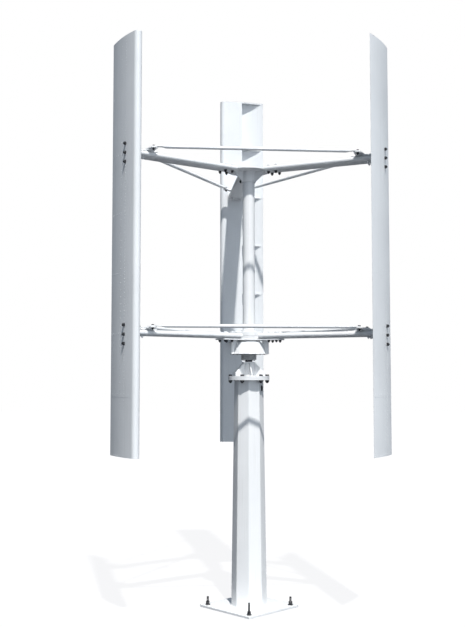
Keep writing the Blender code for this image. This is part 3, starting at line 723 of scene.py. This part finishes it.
def mast_welds():
    (wide, bottom), (narrow, top) = tower_radii()
    low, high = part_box("adapter_stand")
    foot = low.z + 0.001
    beside = TUBE_RADIUS + 0.001
    paths = [
        (octagon(wide + 0.0012, bottom + 0.0014, CORNER_BEND), True),
        (octagon(narrow + 0.0012, top - 0.0014, CORNER_BEND), True),
        (circle(beside, foot, 64), True),
    ]
    for angle in flange_spokes():
        for side in (-GUSSET_BEAD, GUSSET_BEAD):
            flat = [(TUBE_RADIUS, side, foot), (STAND_REACH, side, foot)]
            tall = [(beside, side, foot + 0.003), (beside, side, high.z - STAND_NECK - 0.002)]
            paths += [(carried(line, spin(angle)), False) for line in (flat, tall)]
    # The seam of the folded plate runs up the middle of one face
    to_face = cos(pi / TOWER_SIDES)
    seam = [(wide * to_face, 0.0, bottom + 0.004), (narrow * to_face, 0.0, top - 0.004)]
    paths.append((carried(seam, spin(pi * 5 / TOWER_SIDES)), False))
    weld_piece("mast_weld_beads", paths, "mast")


# ---- generator ----
def cap_screws(name, body, radius, z, count, height):
    """Hexagon heads on a circle, facing down."""
    head = moved(nut(M6[1], 0.0, height, both_ends=False), Matrix.Rotation(pi, 4, "X"))
    places = [at(*point) for point in circle(radius, z, count)]
    piece(name, copies(head, places), body, [], ZINC)


def generator():
    low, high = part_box("stator_shaft")
    radius = high.x
    shaft = turned([(radius - 0.002, low.z), (radius, low.z + 0.002), (radius, high.z - 0.004),
                    (radius - 0.004, high.z)], 64, hollow=False)
    # The shaft's dark material carries painted shade for the recess it sits in
    piece("stator_shaft_detail", shaft, "mast", ["stator_shaft"], SHAFT_STEEL_WITH_SHADE)

    low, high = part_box("stator_neck")
    neck = high.x
    bore = radius + 0.0005
    collar = turned([
        (neck - 0.006, low.z), (neck, low.z + 0.004), (neck, low.z + 0.014),
        (neck - 0.002, low.z + 0.016), (neck - 0.002, low.z + 0.020), (neck, low.z + 0.022),
        (neck, high.z), (bore, high.z), (bore, low.z),
    ])
    piece("stator_neck_detail", collar, "mast", ["stator_neck"], GREY, 0.0006)
    cap_screws("neck_screws", "mast", (neck + bore) / 2, low.z, 6, M6[2])


def housing():
    low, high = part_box("generator_housing")
    rim, bottom, top = high.x, low.z, high.z
    shoulder = top - HOUSING_CROWN
    crown = 0.085
    bore = 0.0415
    cone = rim - HOUSING_FLARE
    wall = 0.006
    profile = [
        (rim - 0.0010, bottom), (rim, bottom + 0.0012), (rim - 0.0022, bottom + 0.0085),
        (rim - 0.0040, bottom + 0.0095),
        (cone + 0.0022, shoulder - 0.0040), (cone + 0.0008, shoulder - 0.0012),
        (cone - 0.0025, shoulder), (crown + 0.0010, shoulder + 0.0004), (crown, shoulder + 0.0016),
        (crown, top - 0.0012), (crown - 0.0012, top), (bore, top), (bore, shoulder - wall),
        (cone - wall, shoulder - wall), (rim - wall, bottom + 0.004), (rim - wall, bottom),
    ]
    piece("generator_shell", turned(profile, 128), "rotor", ["generator_housing"], WHITE)


def cover():
    low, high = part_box("generator_cover")
    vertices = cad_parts["generator_cover"].data.vertices
    bore = min(hypot(v.co.x, v.co.y) for v in vertices)
    piece("generator_cover_detail", ring(high.x, bore, low.z, high.z), "rotor",
          ["generator_cover"], GREY, 0.0006)
    cap_screws("cover_screws", "rotor", high.x - 0.009, low.z, 12, M6[2] * 0.6)


# ---- rotor frame ----
def star_outline(radius, reach, fillet):
    """A disc with a round-cornered lobe towards each arm and filleted roots."""
    corner = 0.012
    centre_y = LOBE_HALF_WIDTH + fillet
    centre_x = ((radius + fillet) ** 2 - centre_y ** 2) ** 0.5
    meet = atan2(centre_y, centre_x)
    stop = pi / SPOKES
    half = []
    for i in range(7):
        angle = pi / 2 * i / 6
        half.append((reach - corner + corner * cos(angle),
                     LOBE_HALF_WIDTH - corner + corner * sin(angle)))
    for i in range(7):
        angle = -pi / 2 - (pi / 2 - meet) * i / 6
        half.append((centre_x + fillet * cos(angle), centre_y + fillet * sin(angle)))
    for i in range(1, 9):
        angle = meet + (stop - meet) * i / 8
        half.append((radius * cos(angle), radius * sin(angle)))
    whole = [(x, -y) for x, y in half[-2::-1]] + half
    return [(x * cos(turn) - y * sin(turn), x * sin(turn) + y * cos(turn))
            for turn in even_angles(SPOKES) for x, y in whole]


def bolt_places(radii, offset):
    return [at(radius, side * offset) for radius in radii for side in (-1, 1)]


def hub(level, parts, gusset, grip_low, grip_high):
    """Join a hub's turned parts to its gussets; the arm root bolts are their own pieces."""
    gussets = copies(gusset_plate(gusset), around())
    piece(f"{level}_hub_detail", moved(joined([*parts, gussets]), spin(TURN)), "rotor",
          [f"{level}_hub"], WHITE, 0.0012)
    bolts = bolt_places(ROOT_BOLT_RADII, ROOT_BOLT_OFFSET)
    heads = copies(bolt_head(M12, grip_high), bolts)
    tails = copies(bolt_tail(M12, grip_low), bolts)
    piece(f"{level}_root_heads", copies(heads, around(TURN)), "rotor", [], WHITE)
    piece(f"{level}_root_nuts", copies(tails, around(TURN)), "rotor", [], ZINC)


def upper_hub():
    """A disc halfway up the arms, with lobes inside them, a sleeve, a cap and gussets."""
    hub_low, hub_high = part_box("upper_hub")
    reach = spoke_box("upper_hub", TURN)[1].x
    centre = ARM_CENTRES["upper"]
    half_arm = ARM_THICKNESS / 2 + FIT
    low, high = centre - HUB_PLATE / 2, centre + HUB_PLATE / 2
    lip = centre + 0.025
    parts = [
        prism(star_outline(UPPER_DISC_RADIUS, reach, 0.004), low, high),
        ring(HUB_SLEEVE_RADIUS, HUB_BORE, hub_low.z, lip),
        turned([(HUB_SLEEVE_RADIUS - 0.0015, centre + half_arm),
                (HUB_SLEEVE_RADIUS - 0.0015, hub_high.z - 0.006),
                (0.010, hub_high.z - 0.0045)], 64, hollow=False),
    ]
    hub("upper", parts, upper_gusset(), centre - half_arm, centre + half_arm)


def upper_gusset():
    """Outline of the plate that braces the disc against the sleeve."""
    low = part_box("upper_hub")[0].z + 0.002
    disc = ARM_CENTRES["upper"] - HUB_PLATE / 2
    return [(HUB_SLEEVE_RADIUS - 0.003, low), (HUB_SLEEVE_RADIUS + 0.004, low),
            (0.125, disc - 0.020), (0.125, disc + 0.002),
            (HUB_SLEEVE_RADIUS - 0.003, disc + 0.002)]


def lower_hub():
    """A drum of two flanges, a star plate under the arms, a sleeve and hanging gussets."""
    reach = spoke_box("lower_hub", TURN)[1].x
    centre = ARM_CENTRES["lower"]
    half_arm = ARM_THICKNESS / 2 + FIT
    arm_top, arm_bottom = centre + half_arm, centre - half_arm
    groove = LOWER_DRUM_RADIUS - DRUM_GROOVE[1]
    groove_low = centre - DRUM_GROOVE[0] / 2
    groove_high = centre + DRUM_GROOVE[0] / 2
    inner = HUB_SLEEVE_RADIUS - 0.001
    lip = centre + 0.045
    foot = centre - 0.033
    parts = [
        prism(star_outline(LOWER_DRUM_BASE, reach, 0.014), arm_bottom - HUB_PLATE, arm_bottom),
        turned([(LOWER_DRUM_RADIUS, arm_bottom - 0.001), (LOWER_DRUM_RADIUS, groove_low),
                (groove, groove_low), (groove, groove_high), (LOWER_DRUM_RADIUS, groove_high),
                (LOWER_DRUM_RADIUS, arm_top + HUB_PLATE), (inner, arm_top + HUB_PLATE),
                (inner, arm_bottom - 0.001)]),
        ring(HUB_SLEEVE_RADIUS, HUB_BORE, foot, lip),
    ]
    hub("lower", parts, lower_gusset(), arm_bottom - HUB_PLATE, arm_top)


def lower_gusset():
    """Outline of the plate that follows the generator cone down to its rim."""
    low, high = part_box("generator_housing")
    rim = high.x + GUSSET_CLEARANCE
    top = high.z - HOUSING_CROWN
    slope = HOUSING_FLARE / (top - low.z)
    lobe = ARM_CENTRES["lower"] - ARM_THICKNESS / 2 - FIT - 0.008
    return [(rim - HOUSING_FLARE - slope * (lobe - top), lobe), (rim - HOUSING_FLARE, top),
            (rim, low.z), (LOWER_GUSSET_REACH, low.z), (LOWER_GUSSET_REACH, lobe)]


def rotor_tube():
    low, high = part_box("rotor_tube")
    shape = ring(TUBE_RADIUS, TUBE_RADIUS - TUBE_WALL, low.z, high.z)
    piece("rotor_tube_detail", shape, "rotor", ["rotor_tube"], WHITE)


def arm_places():
    """(level, number, matrix) of the middle plane of each arm."""
    return [(level, i, at(0.0, 0.0, ARM_CENTRES[level]) @ spin(turn))
            for level in LEVELS for i, turn in ARM_TURNS.items()]


def arms():
    shapes = {}
    for level in LEVELS:
        low, high = spoke_box(f"arm_{level}_1", TURN)
        section = oval((high.y - low.y) / 2, ARM_THICKNESS / 2, ARM_POWER, 56)
        shapes[level] = along_x(section, low.x, high.x)
    for level, i, place in arm_places():
        piece(f"arm_detail_{level}_{i}", moved(shapes[level], place), "rotor",
              [f"arm_{level}_{i}"], WHITE, 0.0008)


def tie_line():
    """A tie between its two bolts, as (start, end) in the frame of arm 1."""
    start = Vector((*TIE_END, 0.0))
    end = spin(2 * pi / SPOKES) @ Vector((TIE_END[0], -TIE_END[1], 0.0))
    return start, end


def tie_shape():
    """A tube pressed flat at both ends, along Y, with its middle at the origin."""
    start, end = tie_line()
    half = (end - start).length / 2
    press = 0.045
    tube = (TIE_RADIUS, TIE_RADIUS, 2.0)
    # From the tip inwards: place along the tie, half width, half thickness, roundness
    ends = [(half + 0.018, 0.006, 0.0028, 2.6), (half + 0.0165, 0.0115, 0.003, 3.0),
            (half + 0.012, 0.0150, 0.003, 3.6), (half + 0.006, *TIE_FLAT),
            (half - press, *TIE_FLAT)]
    for i in range(1, 7):
        share = i / 6
        ease = share * share * (3 - 2 * share)
        ends.append((half - press - press * share,
                     *[a + (b - a) * ease for a, b in zip(TIE_FLAT, tube)]))
    stages = [(-y, *size) for y, *size in ends] + ends[::-1]
    rings = [[(x, y, z) for x, z in oval(width, height, power, 28)]
             for y, width, height, power in stages]
    return loft(rings)


def ties():
    start, end = tie_line()
    distance = ((start + end) / 2).length
    shape = tie_shape()
    for level in LEVELS:
        for i, turn in ARM_TURNS.items():
            between = turn + pi / SPOKES
            place = spin(between) @ at(distance, 0.0, ARM_CENTRES[level] + TIE_ABOVE_ARM)
            piece(f"tie_rod_detail_{level}_{i}", moved(shape, place), "rotor",
                  [f"tie_rod_{level}_{i}"], WHITE)


def tip_bracket_shape():
    """A strap on the arm, an end plate at its tip and a raised lug for both ties."""
    top = ARM_THICKNESS / 2 + FIT
    lug_top = TIE_ABOVE_ARM - TIE_FLAT[1] - FIT
    lug_low = lug_top - LUG
    tip = ARM_HIGH.x
    strap = prism(rounded(rectangle(0.800, -0.045, tip + 0.004, 0.045), 0.006), top, top + STRAP)
    end_plate = along_x(rounded(rectangle(-0.070, -0.035, 0.070, 0.0345), 0.008), tip + FIT,
                        tip + END_PLATE)
    lug = prism(rounded(rectangle(0.841, -0.115, 0.891, 0.115), 0.014), lug_low, lug_top)
    riser = loft([
        [(x, y * width, z) for x, y in ((0.836, -1), (0.896, -1), (0.896, 1), (0.836, 1))]
        for z, width in ((top + 0.002, 0.032), (lug_low + 0.001, 0.095))
    ])
    return joined([strap, end_plate, lug, riser])


def tip_brackets():
    clamp = bolt(M10, ARM_CROWN - ARM_THICKNESS / 2, ARM_THICKNESS / 2 + FIT + STRAP)
    clamps = copies(clamp, bolt_places(TIP_BOLT_RADII, TIP_BOLT_OFFSET))
    lug_low = TIE_ABOVE_ARM - TIE_FLAT[1] - FIT - LUG
    tie_bolt = bolt(M10, lug_low, TIE_ABOVE_ARM + TIE_FLAT[1] + 0.0002)
    tie_bolts = copies(tie_bolt, bolt_places(TIE_END[:1], TIE_END[1]))
    shape = tip_bracket_shape()
    for level, i, place in arm_places():
        piece(f"tip_bracket_detail_{level}_{i}", moved(shape, place), "rotor",
              [f"tip_bracket_{level}_{i}"], WHITE, 0.0010)
        piece(f"tip_clamp_bolts_{level}_{i}", moved(clamps, place), "rotor", [], WHITE)
        piece(f"tie_bolts_{level}_{i}", moved(tie_bolts, place), "rotor", [], ZINC)


def rotor_welds():
    """Beads at the hubs' sleeves and gussets, and where the tie lugs rise from the straps."""
    upper, lower = ARM_CENTRES["upper"], ARM_CENTRES["lower"]
    drum = ARM_THICKNESS / 2 + HUB_PLATE + FIT
    # Underside and top of each hub's plates, then where its gussets' beads start and end
    seats = {"upper": (upper - HUB_PLATE / 2, upper + 0.0255, 0.056, 0.123),
             "lower": (lower - drum, lower + drum, 0.109, 0.155)}
    sleeve = HUB_SLEEVE_RADIUS + 0.0005
    sleeve_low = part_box("upper_hub")[0].z
    paths = [(circle(TUBE_RADIUS + 0.0035, z, 72), True) for z in (lower + 0.045, sleeve_low)]
    for level, (under, over, first, last) in seats.items():
        paths += [(circle(sleeve, z, 72), True) for z in (under - 0.001, over + 0.0008)]
        lug = ARM_CENTRES[level] + ARM_THICKNESS / 2 + 0.0062
        for turn in around():
            for side in (-1, 1):
                beside = side * GUSSET_BEAD
                lines = [[(first, beside, under - 0.0008), (last, beside, under - 0.0008)],
                         [(0.838, side * 0.034, lug), (0.894, side * 0.034, lug)]]
                if level == "upper":
                    lines.append([(sleeve, beside, under - 0.003),
                                  (sleeve, beside, sleeve_low + 0.005)])
                paths += [(carried(line, turn), False) for line in lines]
    onto_arm = [(carried(path, spin(TURN)), closed) for path, closed in paths]
    weld_piece("rotor_weld_beads", onto_arm, "rotor")


# ---- blades ----
def outer_point(station, inset=0.0):
    """A point on the outer skin, moved inward by inset, as (radius, station)."""
    along = station - OUTER_START
    radius = OUTER_HEIGHT + OUTER_SLOPE * along - OUTER_DROP * along * along
    slope = OUTER_SLOPE - 2 * OUTER_DROP * along
    length = hypot(1.0, slope)
    return radius - inset / length, station + inset * slope / length


def outer_curve(first, last, inset, count):
    return [outer_point(first + (last - first) * i / count, inset) for i in range(count + 1)]


def nose_curve(inset, count):
    reach = NOSE_RADIUS - inset
    angles = [NOSE_END + (pi - NOSE_END) * i / count for i in range(count + 1)]
    return [(NOSE_CENTRE + reach * cos(a), NOSE_RADIUS - reach * sin(a)) for a in angles]


def on_chord(points):
    """Change (radius, station) to (x, y) with the nose ahead of the arm."""
    return [(radius, NOSE_Y - station) for radius, station in points]


def skin_matrix(station, z):
    """Local Z along the outward normal of the outer skin."""
    radius = outer_point(station)[0]
    slope = OUTER_SLOPE - 2 * OUTER_DROP * (station - OUTER_START)
    normal = Vector((1.0, slope, 0.0)).normalized()
    turn = normal.to_track_quat("Z", "Y").to_matrix().to_4x4()
    return at(radius, NOSE_Y - station, z) @ turn


def stain_at(point):
    """Run-off below each blade bolt, drawn back towards the trailing edge."""
    strongest = 0.8
    amount = 0.0
    if point.x < NOSE_CENTRE:
        return amount
    for centre in ANCHOR_CENTRES.values():
        for step in (-1, 0, 1):
            fall = centre + step * BOLT_PITCH - point.z
            if -0.006 < fall < RUN_OFF:
                below = max(fall, 0.0)
                across = abs(point.y + 0.22 * below) / (0.007 + 0.03 * below)
                amount += max(0.0, 1.0 - across) * (1.0 - below / RUN_OFF) * strongest
    return min(amount, strongest)


def outer_skin():
    outline = outer_curve(CHORD, OUTER_START, INSIDE, 44) + nose_curve(INSIDE, 18)[1:]
    inside = outer_curve(CHORD, OUTER_START, SKIN, 44) + nose_curve(SKIN, 18)[1:]
    section = on_chord(outline + inside[::-1])
    levels = 260
    heights = [BLADE_BOTTOM + (BLADE_TOP - BLADE_BOTTOM) * i / levels for i in range(levels + 1)]
    return loft([[(x, y, z) for x, y in section] for z in heights])


def hem_shape():
    """The folded trailing edge, inside the skin."""
    start = CHORD - 0.011
    outline = outer_curve(start, CHORD - 0.0002, SKIN - 0.0002, 4)
    inside = outer_curve(start, CHORD - 0.0002, SKIN + 0.0016, 4)
    return prism(on_chord(outline + inside[::-1]), BLADE_BOTTOM + 0.0005, BLADE_TOP - 0.0005)


def lap_shape(z):
    """A narrow butt strap over a joint of the skin sheets."""
    first, last = 0.034, CHORD - 0.008
    outer = outer_curve(first, last, -0.0001, 40)
    inner = outer_curve(last, first, INSIDE, 40)
    return prism(on_chord(outer + inner), z - 0.011, z + 0.011)


def inner_skin():
    front = NOSE_Y - NOSE_RADIUS + 0.004
    back = NOSE_Y - WEB_STATION - 0.001
    return prism(rectangle(INNER_FACE - 0.0002, back, INNER_FACE + SKIN, front), BLADE_BOTTOM,
                 BLADE_TOP)


def lip_span(low, height, lip_up):
    """Where a lip of this height starts and ends, on the rib's upper or lower side."""
    if lip_up:
        return low + RIB_THICKNESS * 0.4, low + height
    return low + RIB_THICKNESS - height, low + RIB_THICKNESS * 0.6


def rear_rib(low, lip_up):
    """A pressed rib behind the web with lips along the skin and the free edge."""
    inset = SKIN + FIT
    tail = CHORD - 0.016
    web = WEB_STATION + 0.001
    curve = outer_curve(web, tail, inset, 24)
    plate = prism(on_chord(curve + [(INNER_FACE, web)]), low, low + RIB_THICKNESS)
    first, last = web + 0.004, tail - 0.004
    skin_edge = outer_curve(first, last, inset, 24) + outer_curve(last, first, inset + LIP, 24)
    skin_lip = prism(on_chord(skin_edge), *lip_span(low, 0.015, lip_up))
    free_start = Vector((INNER_FACE, web))
    free_end = Vector(outer_point(tail, inset))
    along = (free_end - free_start).normalized()
    across = Vector((along.y, -along.x)) * LIP
    start, end = free_start + along * 0.003, free_end - along * 0.012
    outline = [tuple(p) for p in (start, end, end + across, start + across)]
    free_lip = prism(on_chord(outline), *lip_span(low, 0.010, lip_up))
    return joined([plate, skin_lip, free_lip])


def nose_rib(low):
    inset = SKIN + FIT
    outline = nose_curve(inset, 16)[:-1] + [(INNER_FACE + inset, NOSE_RADIUS)]
    outline += [(INNER_FACE + inset, WEB_STATION + 0.001)]
    outline += outer_curve(WEB_STATION + 0.001, OUTER_START, inset, 12)[:-1]
    return prism(on_chord(outline), low, low + RIB_THICKNESS)


def blade_frame():
    web_top = outer_point(WEB_STATION, SKIN + FIT)[0]
    web_y = NOSE_Y - WEB_STATION
    web = prism(rectangle(INNER_FACE + FIT, web_y - 0.002, web_top, web_y), BLADE_BOTTOM + FIT,
                BLADE_TOP - FIT)
    flange_outer = outer_curve(WEB_STATION, WEB_STATION + 0.018, SKIN + 0.0002, 6)
    flange_inner = outer_curve(WEB_STATION + 0.018, WEB_STATION, SKIN + 0.0018, 6)
    skin_flange = prism(on_chord(flange_outer + flange_inner), BLADE_BOTTOM + 0.0004,
                        BLADE_TOP - 0.0004)
    parts = [web, skin_flange]
    for i, low in enumerate(RIB_HEIGHTS):
        parts.append(rear_rib(low, lip_up=i < RIB_COUNT - 1))
        if all(abs(low - centre) > 0.1 for centre in ANCHOR_CENTRES.values()):
            parts.append(nose_rib(low))
    return joined(parts)


def rivets():
    """Blind rivets: along the bolt line, the web and each rib, and on the flat inner sheet."""
    head = dome(0.0028, 0.0011)
    matrices = []
    count = int((BLADE_TOP - BLADE_BOTTOM - 0.03) / RIVET_PITCH)
    for i in range(count + 1):
        z = BLADE_BOTTOM + 0.015 + i * RIVET_PITCH
        near_bolt = any(abs(z - centre) < 0.082 for centre in ANCHOR_CENTRES.values())
        if not near_bolt:
            matrices.append(skin_matrix(NOSE_Y, z))
        if i % 2 == 0:
            matrices.append(skin_matrix(WEB_STATION + 0.009, z))
            for y in (NOSE_Y - NOSE_RADIUS - 0.006, NOSE_Y - WEB_STATION + 0.007):
                matrices.append(at(INNER_FACE - 0.0002, y, z)
                                @ Matrix.Rotation(-pi / 2, 4, "Y"))
    for low in RIB_HEIGHTS:
        z = min(max(low + 0.0085, BLADE_BOTTOM + 0.006), BLADE_TOP - 0.006)
        for k in range(5):
            matrices.append(skin_matrix(WEB_STATION + 0.034 + 0.032 * k, z))
    return copies(head, matrices)


def anchor_parts(level):
    """The stud pad behind the skin with its stem to the arm, and the outer ends of its studs."""
    skin_face = outer_point(NOSE_Y)[0]
    pad_face = skin_face - SKIN - PAD_GAP
    centre = ANCHOR_CENTRES[level]
    pad = along_x(rounded(rectangle(-0.020, -0.080, 0.020, 0.080), 0.005), pad_face - 0.006,
                  pad_face)
    stem = along_x(rounded(rectangle(-0.030, -0.020, 0.030, 0.020), 0.004),
                   ARM_HIGH.x + END_PLATE + FIT, pad_face - 0.002)
    outward = Matrix.Rotation(pi / 2, 4, "Y")
    places = [at(skin_face, 0.0, centre + step * BOLT_PITCH) @ outward for step in (-1, 0, 1)]
    studs = copies(stud_end(M12, 0.0, ANCHOR_BOXES[level][1].x - skin_face), places)
    return moved(joined([pad, stem]), at(0.0, 0.0, centre)), studs


def blades():
    outer = outer_skin()
    stains = [stain_at(p) for p in outer[0]]
    anchors = {level: anchor_parts(level) for level in LEVELS}
    # Name, shape and the CAD node that it stands for
    parts = [
        ("blade_hem", hem_shape(), ""),
        ("blade_butt_strap", lap_shape(RIB_HEIGHTS[1]), ""),
        ("blade_flat_sheet", inner_skin(), "blade_inner_skin"),
        ("blade_ribs", blade_frame(), "blade_frame"),
        ("blade_rivets", rivets(), ""),
    ]
    for i, turn in ARM_TURNS.items():
        place = spin(turn)
        skin = piece(f"blade_shell_{i}", moved(outer, place), "rotor",
                     [f"blade_outer_skin_{i}"], BLADE)
        mark = skin.data.attributes.new("stain", "FLOAT", "POINT")
        mark.data.foreach_set("value", stains)
        for name, shape, node in parts:
            nodes = [f"{node}_{i}"] if node else []
            piece(f"{name}_{i}", moved(shape, place), "rotor", nodes, BLADE)
        for level, (anchor, studs) in anchors.items():
            piece(f"blade_anchor_detail_{level}_{i}", moved(anchor, place), "rotor",
                  [f"blade_anchor_{level}_{i}"], WHITE, 0.0010)
            piece(f"blade_studs_{level}_{i}", moved(studs, place), "rotor", [], ZINC)


# ---- stage ----
def glowing(name, colour, strength, mix=1.0):
    """A plain pale surface that partly glows, so that its shadows stay faint."""
    material, _, shader = shader_tree(name)
    set_inputs(shader, {
        "Base Color": (*[c * (1 - mix) for c in colour], 1.0),
        "Roughness": 1.0,
        "Specular IOR Level": 0.0,
        "Emission Color": (*colour, 1.0),
        "Emission Strength": strength,
    })
    return material


def studio():
    disc = turned([(40.0, -0.02), (40.0, -0.0005)], 96, hollow=False)
    floor = add_object("floor", make_mesh("floor", disc))
    floor.data.materials.append(glowing("pale_floor", (0.97, 0.97, 0.98), 0.93, 0.91))
    sphere = bpy.data.meshes.new("backdrop")
    bm = bmesh.new()
    bmesh.ops.create_uvsphere(bm, u_segments=48, v_segments=24, radius=90.0)
    bm.to_mesh(sphere)
    bm.free()
    backdrop = add_object("backdrop", sphere)
    backdrop.data.materials.append(glowing("pale_backdrop", (1.0, 1.0, 1.0), 1.0))
    for item in (floor, backdrop):
        # Only the camera sees them, so that they neither light nor shade the turbine
        item.visible_diffuse = False
        item.visible_glossy = False
        item.visible_transmission = False
        item.visible_shadow = False


def sky():
    """Soft light from above, dimmer from below."""
    world = bpy.data.worlds.new("studio_light")
    SCENE.world = world
    world.use_nodes = True
    tree = world.node_tree
    background = tree.nodes["Background"]
    place = tree.nodes.new("ShaderNodeTexCoord")
    split = tree.nodes.new("ShaderNodeSeparateXYZ")
    tree.links.new(place.outputs["Generated"], split.inputs["Vector"])
    height = span(tree, split.outputs["Z"], -0.06, 0.20)
    colour = blend(tree, height, SKY_BELOW, SKY_ABOVE)
    tree.links.new(colour, background.inputs["Color"])
    background.inputs["Strength"].default_value = 1.0


def far_lamp(name, towards, energy, spread, colour):
    """Parallel light that comes from one direction; a wide spread makes it soft."""
    lamp = bpy.data.lights.new(name, "SUN")
    lamp.energy = energy
    lamp.angle = radians(spread)
    lamp.color = colour
    item = add_object(name, lamp)
    item.rotation_mode = "QUATERNION"
    item.rotation_quaternion = (-Vector(towards)).to_track_quat("-Z", "Y")


def camera():
    data = bpy.data.cameras.new("camera")
    data.lens = CAMERA_LENS
    data.clip_end = 300.0
    item = add_object("camera", data)
    item.location = CAMERA_PLACE
    item.rotation_euler = CAMERA_TURN
    SCENE.camera = item


# ---- build ----
camera()
for lamp_facts in LAMPS:
    far_lamp(*lamp_facts)
sky()
studio()
SCENE.view_settings.view_transform = "Standard"

base_plate()
anchor_bolts()
tower()
cable_outlet()
flanges()
stand()
mast_welds()
generator()
housing()
cover()
rotor_tube()
upper_hub()
lower_hub()
arms()
ties()
tip_brackets()
rotor_welds()
blades()
for node_name, node_look in NODE_LOOKS.items():
    node_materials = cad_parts[node_name].data.materials
    node_materials.clear()
    node_materials.append(node_look)
